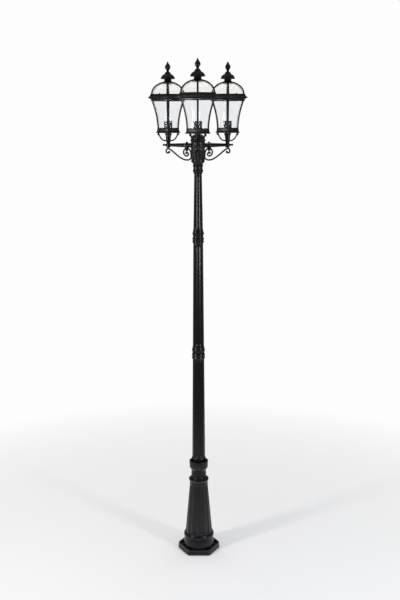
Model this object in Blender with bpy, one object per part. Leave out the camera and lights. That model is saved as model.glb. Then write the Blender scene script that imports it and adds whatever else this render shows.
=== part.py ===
"""A three-arm street lamp post.

A hexagonal cast base carries three fluted pole sections. The capital on top holds three arms
120 degrees apart, each with a scroll bracket below it and a hexagonal glazed lantern above it.
Metres, +Z up, +X to the right, the first arm towards -Y. The origin is on the post's axis at
ground level.
"""

import math

import bmesh
import bpy
from mathutils import Vector

# ---------------------------------------------------------------- driving dimensions
CLEARANCE = 0.0003  # between pieces that touch
ARMS = {"front": -90.0, "right": 30.0, "left": 150.0}  # direction of each arm, in degrees

# Base casting
PLATE_CORNER_RADIUS = 0.120
PLATE_THICKNESS = 0.033
PLATE_STEP = 0.002
PLATE_CORNER_CUT = 0.011
PLATE_RIM_WIDTH = 0.010
POCKET_DEPTH = 0.011
POCKET_HALF_ANGLE = 17.0
ANCHOR_HOLE_RADIUS = 0.0055
BASE_FLOOR = 0.008
CABLE_HOLE_RADIUS = 0.012
CABLE_HOLE_CIRCLE = 0.036
DRUM_RADIUS = 0.086
DRUM_TOP_RADIUS = 0.080
DRUM_HEIGHT = 0.043
DRUM_RING_RADIUS = 0.0855
DRUM_RING_HEIGHT = 0.030
CONE_FOOT_RADIUS = 0.075
CONE_TOP_RADIUS = 0.0495
CONE_HEIGHT = 0.287
CONE_WALL = 0.008
BASE_FLUTES = 12
CONE_FLUTE_DEPTH = 0.0032
CONE_CAP_HEIGHT = 0.0115
FLARE_RADIUS = 0.0555
FLARE_HEIGHT = 0.033
NECK_RADIUS = 0.0415
NECK_HEIGHT = 0.0365
FOOT_SOCKET_DEPTH = 0.060

# Lock ring
LOCK_RING_RADIUS = 0.0522
LOCK_RING_HEIGHT = 0.0565
LOCK_RING_CUP_RADIUS = 0.0450
LOCK_RING_CUP_DEPTH = 0.018

# Poles: radius at the foot and at the head of each section, and the bore inside it
POLE_FLUTES = 8
POLE_FLUTE_DEPTH = 0.0014
SPIGOT_LENGTH = 0.032
LOWER_POLE_LENGTH = 0.603
LOWER_POLE_RADII = (0.0360, 0.0312)
LOWER_POLE_BEAD_RADIUS = 0.0390
LOWER_FOOT_SPIGOT_RADIUS = 0.0330
LOWER_BORE_RADIUS = 0.0240
MIDDLE_POLE_LENGTH = 0.563
MIDDLE_POLE_RADII = (0.0305, 0.0262)
MIDDLE_BORE_RADIUS = 0.0190
UPPER_POLE_LENGTH = 0.293
UPPER_POLE_RADII = (0.0253, 0.0201)
UPPER_BORE_RADIUS = 0.0130

# Joint collars: bead, valley and socket radius of each
COLLAR_HEIGHT = 0.0735
COLLAR_TOP_BEAD_DROP = 0.003  # the top bead is this much smaller than the others
LOWER_COLLAR_RADII = (0.0357, 0.0330, 0.0285)
UPPER_COLLAR_RADII = (0.0312, 0.0278, 0.0238)

# Capital
CAPITAL_NECK_HEIGHT = 0.0565
CAPITAL_NECK_RING_RADIUS = 0.0278
CAPITAL_NECK_VALLEY_RADIUS = 0.0244
CAPITAL_NECK_SOCKET_RADIUS = 0.0180
CAPITAL_NECK_SPIGOT_RADIUS = 0.0200
CAPITAL_NECK_SPIGOT_LENGTH = 0.018
SLEEVE_RADIUS = 0.0365
SLEEVE_HEIGHT = 0.110
SLEEVE_WALL = 0.006
SLEEVE_LEAVES = 8
SLEEVE_LEAF_DEPTH = 0.0010
CAPITAL_TOP_RADIUS = 0.0400
CAPITAL_CAP_HEIGHT = 0.057

# Arms
ARM_BELOW_SLEEVE_TOP = 0.0205  # the arm's centreline, below the sleeve's top face
ARM_ROOT_RADIUS = 0.0125
ARM_SEAT_RADIUS = 0.0075
ARM_TIP_RADIUS = 0.0045
ARM_OVERHANG = 0.035
ARM_SPIGOT_RADIUS = 0.0080
ARM_BOSS_RADIUS = 0.0108
ARM_BOSS_HEIGHT = 0.0085  # top face above the arm's centreline
ARM_BOSS_DROP = 0.0145  # bottom face below the arm's centreline
LANTERN_REACH = 0.181  # from the post's axis to each lantern's axis
ARM_COLLAR_GAP = 0.026  # from the sleeve to the arm collar
ARM_COLLAR_WIDTH = 0.010
ARM_COLLAR_WALL = 0.0026
ARM_COLLAR_POINT = 0.0055

# Scroll bracket
SCROLL_BAR_RADIUS = 0.0034
SCROLL_BALL_RADIUS = 0.0056
OUTER_CURL_RADIUS = 0.0135
INNER_CURL_RADIUS = 0.0199
INNER_CURL_END_RADIUS = 0.0111
SCROLL_DROP = 0.0765  # from the arm's centreline to the lowest point of the bar

# Lantern stem and braces
STEM_HEIGHT = 0.0536
STEM_RADIUS = 0.0130
STEM_TOP_RADIUS = 0.0140
NIPPLE_RADIUS = 0.0055
NIPPLE_LENGTH = 0.011
WIRE_BORE_RADIUS = 0.0035
BRACE_RING_WALL = 0.0032
BRACE_RING_HEIGHT = 0.006
BRACE_WIRE_RADIUS = 0.0030
BRACE_KNOB_RADIUS = 0.0064
BRACE_SPREAD = 0.053
BRACE_ANGLES = (45.0, 135.0, 225.0, 315.0)

# Lantern body
PAN_RADIUS = 0.073
PAN_HEIGHT = 0.018
PAN_FLOOR = 0.004
BODY_FOOT_RADIUS = 0.0635
BODY_TOP_RADIUS = 0.0980
BODY_HEIGHT = 0.152
BODY_FLARE = 1.9  # how late the body's sides flare out
RIB_WIDTH = 0.0095
RIB_DEPTH = 0.0050
BODY_FOOT_RING_HEIGHT = 0.008
BODY_TOP_RING_HEIGHT = 0.006
BODY_GLASS_SEAT = 0.003  # height of the glass's seat in the foot ring
GLASS_THICKNESS = 0.0025
GLASS_GAP = 0.0006

# Lamp holder
HOLDER_RADIUS = 0.0216
HOLDER_HEIGHT = 0.058
HOLDER_WALL = 0.0065
HOLDER_FLOOR = 0.008
SHELL_WALL = 0.0012
SHELL_HEIGHT = 0.040

# Roof
EAVE_RADIUS = 0.1175
EAVE_HEIGHT = 0.029
EAVE_LEDGE = 0.006
DOME_RADIUS = 0.098
DOME_RISE = 0.0655
DOME_OPENING = 0.028
HUB_RADIUS = 0.030
HUB_THICKNESS = 0.007
CHIMNEY_RADIUS = 0.019
CHIMNEY_HEIGHT = 0.0175
CHIMNEY_WALL = 0.004
VENT_CAP_RADIUS = 0.0375
VENT_CAP_HEIGHT = 0.0285
VENT_CAP_SKIRT = 0.0048  # how far the cap's rim hangs below the chimney's top
FINIAL_HEIGHT = 0.0597
FINIAL_BASE_RADIUS = 0.0155
FINIAL_RADIUS = 0.0145
STUD_RADIUS = 0.0030
STUD_LENGTH = 0.030
SCREW_RADIUS = 0.0018
SCREW_HEAD_RADIUS = 0.0038
SCREW_HEAD_HEIGHT = 0.0035
SCREW_ANGLES = {"a": 90.0, "b": 270.0}

# How finely curves are divided
POST_SIDES = 24  # a multiple of both flute counts
SMALL_SIDES = 10
WIRE_SIDES = 5
CAP_SIDES = 12

# ---------------------------------------------------------------- levels, from the ground up
DRUM_TOP = PLATE_THICKNESS + DRUM_HEIGHT
CONE_FOOT = DRUM_TOP + DRUM_RING_HEIGHT
CONE_TOP = CONE_FOOT + CONE_HEIGHT
FLARE_FOOT = CONE_TOP + CONE_CAP_HEIGHT
NECK_FOOT = FLARE_FOOT + FLARE_HEIGHT
BASE_TOP = NECK_FOOT + NECK_HEIGHT
LOCK_RING_FOOT = BASE_TOP + CLEARANCE
LOCK_RING_TOP = LOCK_RING_FOOT + LOCK_RING_HEIGHT
LOWER_POLE_FOOT = LOCK_RING_TOP - LOCK_RING_CUP_DEPTH + CLEARANCE
LOWER_POLE_HEAD = LOWER_POLE_FOOT + LOWER_POLE_LENGTH
LOWER_COLLAR_FOOT = LOWER_POLE_HEAD + CLEARANCE
MIDDLE_POLE_FOOT = LOWER_COLLAR_FOOT + COLLAR_HEIGHT + CLEARANCE
MIDDLE_POLE_HEAD = MIDDLE_POLE_FOOT + MIDDLE_POLE_LENGTH
UPPER_COLLAR_FOOT = MIDDLE_POLE_HEAD + CLEARANCE
UPPER_POLE_FOOT = UPPER_COLLAR_FOOT + COLLAR_HEIGHT + CLEARANCE
UPPER_POLE_HEAD = UPPER_POLE_FOOT + UPPER_POLE_LENGTH
CAPITAL_NECK_FOOT = UPPER_POLE_HEAD + CLEARANCE
SLEEVE_FOOT = CAPITAL_NECK_FOOT + CAPITAL_NECK_HEIGHT + CLEARANCE
SLEEVE_TOP = SLEEVE_FOOT + SLEEVE_HEIGHT
ARM_LEVEL = SLEEVE_TOP - ARM_BELOW_SLEEVE_TOP
STEM_FOOT = ARM_LEVEL + ARM_BOSS_HEIGHT + CLEARANCE
PAN_FOOT = STEM_FOOT + STEM_HEIGHT + CLEARANCE
PAN_TOP = PAN_FOOT + PAN_HEIGHT
HOLDER_FOOT = PAN_FOOT + PAN_FLOOR + CLEARANCE
BODY_FOOT = PAN_TOP + CLEARANCE
BODY_TOP = BODY_FOOT + BODY_HEIGHT
EAVE_FOOT = BODY_TOP + CLEARANCE
EAVE_TOP = EAVE_FOOT + EAVE_HEIGHT
GLASS_DOME_RADIUS = DOME_RADIUS - RIB_DEPTH - GLASS_GAP
GLASS_DOME_RISE = DOME_RISE - RIB_DEPTH - GLASS_GAP


def dome_height(radius, dome_radius, dome_rise):
    """Height of an elliptical dome above its springing line, at this distance from its axis."""
    return dome_rise * math.sqrt(1.0 - (radius / dome_radius) ** 2)


HUB_FOOT = EAVE_TOP + dome_height(DOME_OPENING, GLASS_DOME_RADIUS, GLASS_DOME_RISE) + CLEARANCE
CHIMNEY_TOP = HUB_FOOT + HUB_THICKNESS + CHIMNEY_HEIGHT
VENT_CAP_FOOT = CHIMNEY_TOP + CLEARANCE - VENT_CAP_SKIRT
FINIAL_FOOT = VENT_CAP_FOOT + VENT_CAP_HEIGHT + CLEARANCE


# ---------------------------------------------------------------- materials
def material(name, color, roughness, metallic):
    """One plain surface for one piece."""
    made = bpy.data.materials.new(name)
    made.use_nodes = True
    shader = made.node_tree.nodes["Principled BSDF"]
    shader.inputs["Base Color"].default_value = (*color, 1.0)
    shader.inputs["Roughness"].default_value = roughness
    shader.inputs["Metallic"].default_value = metallic
    return made


def black_coat(piece):
    """Satin black powder coat on cast aluminium."""
    return material(piece + "_coat", (0.016, 0.016, 0.020), 0.38, 0.25)


def clear_glass(piece):
    made = material(piece + "_glass", (0.90, 0.92, 0.93), 0.04, 0.0)
    shader = made.node_tree.nodes["Principled BSDF"]
    shader.inputs["Transmission Weight"].default_value = 1.0
    shader.inputs["Alpha"].default_value = 0.35
    return made


def black_plastic(piece):
    return material(piece + "_plastic", (0.02, 0.02, 0.022), 0.5, 0.0)


def brass(piece):
    return material(piece + "_brass", (0.70, 0.50, 0.20), 0.3, 1.0)


# ---------------------------------------------------------------- outlines
def circle(radius, z, sides):
    """Points of a level circle about Z."""
    turns = [2.0 * math.pi * i / sides for i in range(sides)]
    return [Vector((radius * math.cos(a), radius * math.sin(a), z)) for a in turns]


def fluted_circle(radius, z, depth, flutes):
    """A level circle with a ridge between each flute and the next, the first ridge on +X."""
    points = circle(radius, z, POST_SIDES)
    sides_per_flute = POST_SIDES // flutes
    for i, point in enumerate(points):
        if i % sides_per_flute:
            point.xy *= 1.0 - depth / radius
    return points


def hexagon(radius, z, corner_cut=0.0):
    """Points of a level hexagon with a corner on +X. A corner cut leaves two points a corner."""
    points = []
    for k in range(6):
        angle = math.radians(60.0 * k)
        corner = Vector((radius * math.cos(angle), radius * math.sin(angle), z))
        if corner_cut == 0.0:
            points.append(corner)
            continue
        for side in (-120.0, 120.0):
            along = angle + math.radians(side)
            points.append(corner + corner_cut * Vector((math.cos(along), math.sin(along), 0.0)))
    return points


def bezier(a, b, c, d, steps):
    """Points of a cubic curve in a plane, without its first point."""
    points = []
    for i in range(1, steps + 1):
        t = i / steps
        s = 1.0 - t
        weights = (s ** 3, 3.0 * s * s * t, 3.0 * s * t * t, t ** 3)
        points.append(tuple(sum(w * p[k] for w, p in zip(weights, (a, b, c, d))) for k in (0, 1)))
    return points


def spiral(center, start_radius, end_radius, start_angle, end_angle, steps):
    """Points of a spiral in a plane, from one angle to another in degrees."""
    points = []
    for i in range(steps + 1):
        t = i / steps
        radius = start_radius + (end_radius - start_radius) * t
        angle = math.radians(start_angle + (end_angle - start_angle) * t)
        points.append((center[0] + radius * math.cos(angle), center[1] + radius * math.sin(angle)))
    return points


# ---------------------------------------------------------------- meshes
def skin(name, rings, looped=False):
    """A closed mesh through rings of equal length: looped end to start, or capped at both ends."""
    shape = bmesh.new()
    rows = [[shape.verts.new(point) for point in ring] for ring in rings]
    pairs = list(zip(rows, rows[1:]))
    if looped:
        pairs.append((rows[-1], rows[0]))
    for low, high in pairs:
        for i, corner in enumerate(low):
            j = (i + 1) % len(low)
            shape.faces.new((corner, low[j], high[j], high[i]))
    if not looped:
        shape.faces.new(list(reversed(rows[0])))
        shape.faces.new(rows[-1])
    bmesh.ops.recalc_face_normals(shape, faces=shape.faces)
    mesh = bpy.data.meshes.new(name)
    shape.to_mesh(mesh)
    shape.free()
    return mesh


def turned(name, outline, sides, looped=True):
    """An outline of (radius, height) turned about Z."""
    return skin(name, [circle(r, z, sides) for r, z in outline], looped)


def swept(name, path, sections):
    """A bar along a path of (u, z) in the upright plane through X. Each section lists points
    as (sideways, outwards), where outwards is square to the path, to its left."""
    rings = []
    for i, (u, z) in enumerate(path):
        before = path[max(i - 1, 0)]
        after = path[min(i + 1, len(path) - 1)]
        along = Vector((after[0] - before[0], 0.0, after[1] - before[1])).normalized()
        left = Vector((-along.z, 0.0, along.x))
        side = Vector((0.0, 1.0, 0.0))
        rings.append([Vector((u, 0.0, z)) + s * side + o * left for s, o in sections[i]])
    return skin(name, rings)


def round_section(radius, sides):
    turns = [2.0 * math.pi * (i + 0.5) / sides for i in range(sides)]
    return [(radius * math.cos(a), radius * math.sin(a)) for a in turns]


def repeated(name, mesh, angles):
    """Copies of a mesh turned about Z, in one mesh."""
    shape = bmesh.new()
    for angle in angles:
        old = set(shape.verts)
        shape.from_mesh(mesh)
        new = [v for v in shape.verts if v not in old]
        turn = math.radians(angle)
        for vertex in new:
            x, y, z = vertex.co
            vertex.co = (x * math.cos(turn) - y * math.sin(turn),
                         x * math.sin(turn) + y * math.cos(turn), z)
    whole = bpy.data.meshes.new(name)
    shape.to_mesh(whole)
    shape.free()
    return whole


def combined(name, mesh, steps):
    """The mesh after Boolean steps, each an operation and a second mesh."""
    body = bpy.data.objects.new(name, mesh)
    bpy.context.collection.objects.link(body)
    helpers = []
    for operation, other in steps:
        helper = bpy.data.objects.new(name + "_tool", other)
        helper.hide_render = True
        helper.display_type = "WIRE"
        bpy.context.collection.objects.link(helper)
        helpers.append(helper)
        step = body.modifiers.new(operation.lower(), "BOOLEAN")
        step.operation = operation
        step.object = helper
        step.solver = "EXACT"
    graph = bpy.context.evaluated_depsgraph_get()
    result = bpy.data.meshes.new_from_object(body.evaluated_get(graph), depsgraph=graph)
    result.name = name
    for helper in [body] + helpers:
        bpy.data.objects.remove(helper, do_unlink=True)
    return result


def cylinder(radius, low, high, sides, x=0.0, y=0.0):
    """An upright cylinder, as a cutter or a boss."""
    mesh = turned("cylinder", [(radius, low), (radius, high)], sides, looped=False)
    for vertex in mesh.vertices:
        vertex.co.x += x
        vertex.co.y += y
    return mesh


# ---------------------------------------------------------------- the post
def foot_plate():
    edge = PLATE_CORNER_RADIUS
    rows = [
        (edge, 0.0),
        (edge, 0.45 * PLATE_THICKNESS),
        (edge - PLATE_STEP, 0.45 * PLATE_THICKNESS + PLATE_STEP),
        (edge - PLATE_STEP, PLATE_THICKNESS - 2.0 * PLATE_STEP),
        (edge - 3.0 * PLATE_STEP, PLATE_THICKNESS),
    ]
    return skin("foot_plate", [hexagon(r, z, PLATE_CORNER_CUT) for r, z in rows])


def base_shaft():
    """Drum, ring, fluted cone, flared ring and neck, as (radius, height, flute depth)."""
    top = CONE_TOP_RADIUS
    slope = (CONE_FOOT_RADIUS - top) / CONE_HEIGHT
    rows = [
        (DRUM_RADIUS, 0.5 * PLATE_THICKNESS, 0.0),
        (DRUM_RADIUS, PLATE_THICKNESS + 0.004, 0.0),
        (DRUM_TOP_RADIUS, DRUM_TOP, 0.0),
    ]
    for turn in (-60.0, -25.0, 25.0, 60.0):
        bulge = math.cos(math.radians(turn)) * (DRUM_RING_RADIUS - CONE_FOOT_RADIUS)
        level = DRUM_TOP + 0.5 * DRUM_RING_HEIGHT * (1.0 + math.sin(math.radians(turn)))
        rows.append((CONE_FOOT_RADIUS + bulge, level, 0.0))
    for up, depth in ((0.0, 0.0), (0.006, 0.0), (0.016, 1.0)):
        rows.append((CONE_FOOT_RADIUS - slope * up, CONE_FOOT + up, depth * CONE_FLUTE_DEPTH))
    for down, depth in ((0.016, 1.0), (0.006, 0.0), (0.0, 0.0)):
        rows.append((top + slope * down, CONE_TOP - down, depth * CONE_FLUTE_DEPTH))
    rows += [
        (top + 0.0015, CONE_TOP + 0.001, 0.0),
        (top + 0.0015, FLARE_FOOT, 0.0),
        (FLARE_RADIUS, FLARE_FOOT + 0.35 * FLARE_HEIGHT, 0.0),
        (FLARE_RADIUS, FLARE_FOOT + 0.60 * FLARE_HEIGHT, 0.0),
        (NECK_RADIUS + 0.002, FLARE_FOOT + 0.90 * FLARE_HEIGHT, 0.0),
        (NECK_RADIUS, NECK_FOOT + 0.004, 0.0),
        (NECK_RADIUS - 0.001, BASE_TOP, 0.0),
    ]
    return skin("base_shaft", [fluted_circle(r, z, d, BASE_FLUTES) for r, z, d in rows])


def base_hollow():
    """The space inside the base, open at the neck, where the lower pole's foot goes in."""
    socket = LOWER_FOOT_SPIGOT_RADIUS + CLEARANCE
    outline = [
        (DRUM_TOP_RADIUS - CONE_WALL, BASE_FLOOR),
        (DRUM_TOP_RADIUS - CONE_WALL, DRUM_TOP),
        (CONE_FOOT_RADIUS - CONE_WALL, CONE_FOOT),
        (CONE_TOP_RADIUS - CONE_WALL, CONE_TOP),
        (socket, BASE_TOP - FOOT_SOCKET_DEPTH),
        (socket, BASE_TOP + CONE_WALL),
    ]
    return turned("base_hollow", outline, POST_SIDES, looped=False)


def plate_pocket():
    """One corner pocket: a kite between the plate's rim and the drum."""
    inner = PLATE_CORNER_RADIUS * math.cos(math.radians(30.0)) - PLATE_RIM_WIDTH
    apex = inner / math.cos(math.radians(30.0))
    half = math.radians(POCKET_HALF_ANGLE)
    side = inner / math.cos(math.radians(30.0) - half)
    kite = [
        (apex, 0.0),
        (side * math.cos(half), side * math.sin(half)),
        (DRUM_RADIUS + 0.002, 0.0),
        (side * math.cos(half), -side * math.sin(half)),
    ]
    levels = (PLATE_THICKNESS - POCKET_DEPTH, PLATE_THICKNESS + POCKET_DEPTH)
    return skin("pocket", [[Vector((x, y, z)) for x, y in kite] for z in levels])


def base_casting():
    deep = -PLATE_THICKNESS
    anchor_x = 0.5 * (DRUM_RADIUS + PLATE_CORNER_RADIUS - PLATE_RIM_WIDTH)
    anchor = cylinder(ANCHOR_HOLE_RADIUS, deep, PLATE_THICKNESS * 2.0, SMALL_SIDES, anchor_x)
    cable = cylinder(CABLE_HOLE_RADIUS, deep, 1.5 * BASE_FLOOR, SMALL_SIDES, CABLE_HOLE_CIRCLE)
    steps = [
        ("UNION", base_shaft()),
        ("DIFFERENCE", base_hollow()),
        ("DIFFERENCE", repeated("pockets", plate_pocket(), range(0, 360, 60))),
        ("DIFFERENCE", repeated("anchor_holes", anchor, range(0, 360, 120))),
        ("DIFFERENCE", repeated("cable_holes", cable, ARMS.values())),
    ]
    return combined("base_casting", foot_plate(), steps)


def terminal_block():
    """A ridged block that stands on the base's floor, between the cable holes."""
    half_width = 0.011
    half_length = 0.019
    levels = ((0.0, 1.0), (0.010, 1.0), (0.0105, 0.7), (0.018, 0.7))
    foot = BASE_FLOOR + CLEARANCE
    rings = []
    for up, width in levels:
        x = half_width * width
        corners = ((-x, -half_length), (x, -half_length), (x, half_length), (-x, half_length))
        rings.append([Vector((cx, cy, foot + up)) for cx, cy in corners])
    return skin("terminal_block", rings)


def lock_ring():
    foot, top, outer = LOCK_RING_FOOT, LOCK_RING_TOP, LOCK_RING_RADIUS
    bore = LOWER_FOOT_SPIGOT_RADIUS + CLEARANCE
    outline = [
        (bore, foot),
        (NECK_RADIUS, foot),
        (NECK_RADIUS + 0.002, foot + 0.006),
        (outer - 0.0020, foot + 0.015),
        (outer, top - 0.006),
        (outer - 0.003, top),
        (LOCK_RING_CUP_RADIUS, top),
        (LOCK_RING_CUP_RADIUS, top - LOCK_RING_CUP_DEPTH),
        (bore, top - LOCK_RING_CUP_DEPTH),
    ]
    return turned("lock_ring", outline, POST_SIDES)


def pole(name, foot, head, radii, foot_spigot, head_spigot, bore, plain_foot=0.010, bead=None):
    """One fluted section with a spigot at each end. Each spigot is (radius, length). A bead is
    (radius, level of its middle, height)."""
    taper = (radii[1] - radii[0]) / (head - foot)

    def side(level, flute=0.0):
        return (radii[0] + taper * (level - foot), level, flute)

    rows = [(foot_spigot[0], foot - foot_spigot[1], 0.0), (foot_spigot[0], foot, 0.0)]
    rows.append(side(foot))
    if bead:
        radius, middle, height = bead
        rows += [side(middle - 0.5 * height), (radius, middle - 0.15 * height, 0.0)]
        rows += [(radius, middle + 0.15 * height, 0.0), side(middle + 0.5 * height)]
    fade = 0.008
    rows += [side(foot + plain_foot), side(foot + plain_foot + fade, POLE_FLUTE_DEPTH)]
    rows += [side(head - 0.010 - fade, POLE_FLUTE_DEPTH), side(head - 0.010), side(head)]
    rows += [(head_spigot[0], head, 0.0), (head_spigot[0], head + head_spigot[1], 0.0)]
    rows += [(bore, head + head_spigot[1], 0.0), (bore, foot - foot_spigot[1], 0.0)]
    return skin(name, [fluted_circle(r, z, d, POLE_FLUTES) for r, z, d in rows], looped=True)


def joint_collar(name, foot, radii):
    """A coupling with two beads below a waist, two above it, and a socket right through it."""
    bead, valley, socket = radii
    top_bead = bead - COLLAR_TOP_BEAD_DROP
    shares = [(0.0, valley), (0.12, bead), (0.24, valley), (0.36, bead), (0.48, valley)]
    shares += [(0.74, bead), (0.83, valley), (0.91, top_bead), (1.0, valley)]
    outline = [(radius, foot + share * COLLAR_HEIGHT) for share, radius in shares]
    outline = [(socket, foot)] + outline + [(socket, foot + COLLAR_HEIGHT)]
    return turned(name, outline, POST_SIDES)


def capital_neck():
    foot = CAPITAL_NECK_FOOT
    top = foot + CAPITAL_NECK_HEIGHT
    ring, valley = CAPITAL_NECK_RING_RADIUS, CAPITAL_NECK_VALLEY_RADIUS
    socket, spigot = CAPITAL_NECK_SOCKET_RADIUS, CAPITAL_NECK_SPIGOT_RADIUS
    outline = [
        (socket, foot),
        (valley - 0.001, foot),
        (ring, foot + 0.27 * CAPITAL_NECK_HEIGHT),
        (valley, foot + 0.50 * CAPITAL_NECK_HEIGHT),
        (ring, foot + 0.73 * CAPITAL_NECK_HEIGHT),
        (valley + 0.001, foot + 0.90 * CAPITAL_NECK_HEIGHT),
        (valley + 0.002, top),
        (spigot, top),
        (spigot, top + CAPITAL_NECK_SPIGOT_LENGTH),
        (socket, top + CAPITAL_NECK_SPIGOT_LENGTH),
    ]
    return turned("capital_neck", outline, POST_SIDES)


def leafed_circle(radius, z, relief):
    """A level circle with a low swell for each leaf."""
    points = circle(radius, z, POST_SIDES)
    for i, point in enumerate(points):
        swell = math.cos(2.0 * math.pi * SLEEVE_LEAVES * i / POST_SIDES)
        point.xy *= 1.0 + min(swell, 0.0) * relief / radius
    return points


def capital_sleeve():
    """The tube that the arms screw into, with its floor on the neck and leaves round it."""
    foot, top, wall = SLEEVE_FOOT, SLEEVE_TOP, SLEEVE_WALL
    bore = CAPITAL_NECK_SPIGOT_RADIUS + CLEARANCE
    floor = foot + CAPITAL_NECK_SPIGOT_LENGTH
    leaf = SLEEVE_LEAF_DEPTH
    rows = [
        (bore, foot, 0.0),
        (SLEEVE_RADIUS - 0.005, foot, 0.0),
        (SLEEVE_RADIUS, foot + 0.006, 0.0),
        (SLEEVE_RADIUS, foot + 0.012, leaf),
        (SLEEVE_RADIUS, top - 0.012, leaf),
        (SLEEVE_RADIUS, top - 0.006, 0.0),
        (SLEEVE_RADIUS, top, 0.0),
        (SLEEVE_RADIUS - wall, top, 0.0),
        (SLEEVE_RADIUS - wall, floor, 0.0),
        (bore, floor - 0.004, 0.0),
    ]
    tube = skin("sleeve_tube", [leafed_circle(r, z, d) for r, z, d in rows], looped=True)
    path = [(0.5 * SLEEVE_RADIUS, ARM_LEVEL), (1.5 * SLEEVE_RADIUS, ARM_LEVEL)]
    section = round_section(ARM_SPIGOT_RADIUS + CLEARANCE, SMALL_SIDES)
    hole = swept("arm_hole", path, [section, section])
    holes = repeated("arm_holes", hole, ARMS.values())
    return combined("capital_sleeve", tube, [("DIFFERENCE", holes)])


def capital_cap():
    """A domed cap with a small point, and a plug that locates it in the sleeve."""
    foot = SLEEVE_TOP + CLEARANCE
    edge = CAPITAL_TOP_RADIUS
    plug = SLEEVE_RADIUS - SLEEVE_WALL - CLEARANCE
    outline = [(plug, foot - 0.006), (plug, foot), (edge - 0.003, foot), (edge, foot + 0.004)]
    outline += [(edge - 0.001, foot + 0.009), (edge - 0.004, foot + 0.014)]
    outline += [(edge - 0.005, foot + 0.021), (0.75 * edge, foot + 0.030), (0.35 * edge, foot + 0.038)]
    outline += [(0.0058, foot + 0.043), (0.0078, foot + 0.048), (0.0060, foot + 0.053)]
    outline += [(0.0010, foot + CAPITAL_CAP_HEIGHT)]
    return turned("capital_cap", outline, CAP_SIDES, looped=False)


# ---------------------------------------------------------------- one arm, along +X
def arm_radius(reach):
    """Radius of the tapered arm at this distance from the post's axis."""
    root = SLEEVE_RADIUS + CLEARANCE
    share = (reach - root) / (LANTERN_REACH - root)
    return ARM_ROOT_RADIUS + (ARM_SEAT_RADIUS - ARM_ROOT_RADIUS) * share


def arm():
    root = SLEEVE_RADIUS + CLEARANCE
    tip = LANTERN_REACH + ARM_OVERHANG
    stations = [
        (root - SLEEVE_WALL - 0.004, ARM_SPIGOT_RADIUS),
        (root, ARM_SPIGOT_RADIUS),
        (root, ARM_ROOT_RADIUS),
        (LANTERN_REACH, ARM_SEAT_RADIUS),
        (tip - 0.007, ARM_TIP_RADIUS),
        (tip - 0.003, 1.25 * ARM_TIP_RADIUS),
        (tip, 0.6 * ARM_TIP_RADIUS),
    ]
    path = [(u, ARM_LEVEL) for u, _ in stations]
    bar = swept("arm_bar", path, [round_section(r, SMALL_SIDES) for _, r in stations])
    low = ARM_LEVEL - ARM_BOSS_DROP
    high = ARM_LEVEL + ARM_BOSS_HEIGHT
    boss = cylinder(ARM_BOSS_RADIUS, low, high, SMALL_SIDES, LANTERN_REACH)
    section = round_section(WIRE_BORE_RADIUS, 6)
    lead_path = [(0.5 * root, ARM_LEVEL), (LANTERN_REACH, ARM_LEVEL)]
    lead_way = swept("lead_way", lead_path, [section, section])
    rise = cylinder(WIRE_BORE_RADIUS, ARM_LEVEL, high + STEM_HEIGHT, 6, LANTERN_REACH)
    steps = [("UNION", boss), ("DIFFERENCE", lead_way), ("DIFFERENCE", rise)]
    return combined("arm", bar, steps)


def egg(width, up, down, point, sides):
    """Points round an arm and the bar below it, as (y, z), drawn out to a point at each end."""
    points = []
    for i in range(sides):
        angle = 2.0 * math.pi * i / sides
        y, z = math.cos(angle), math.sin(angle)
        height = z * (up if z > 0.0 else down)
        if abs(z) > 0.999:
            height += math.copysign(point, z)
        points.append((width * y, height))
    return points


def arm_collar():
    """A band that holds the scroll bracket's bar up against the arm."""
    sides = 16
    start = SLEEVE_RADIUS + ARM_COLLAR_GAP
    arm_size = arm_radius(start) + CLEARANCE
    inside = arm_size / math.cos(math.pi / sides)
    reach = 0.5 * ARM_COLLAR_WIDTH + 2.0 * SCROLL_BAR_RADIUS
    sag = INNER_CURL_RADIUS - math.sqrt(INNER_CURL_RADIUS ** 2 - reach ** 2)
    below = inside + 2.0 * SCROLL_BAR_RADIUS + sag
    wall = ARM_COLLAR_WALL
    inner = egg(inside, inside, below, 0.0, sides)
    outer = egg(inside + wall, inside + wall, below + wall, ARM_COLLAR_POINT, sides)
    rings = []
    for u, outline in ((start, outer), (start + ARM_COLLAR_WIDTH, outer),
                       (start + ARM_COLLAR_WIDTH, inner), (start, inner)):
        rings.append([Vector((u, y, ARM_LEVEL + z)) for y, z in outline])
    return skin("arm_collar", rings, looped=True)


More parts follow.
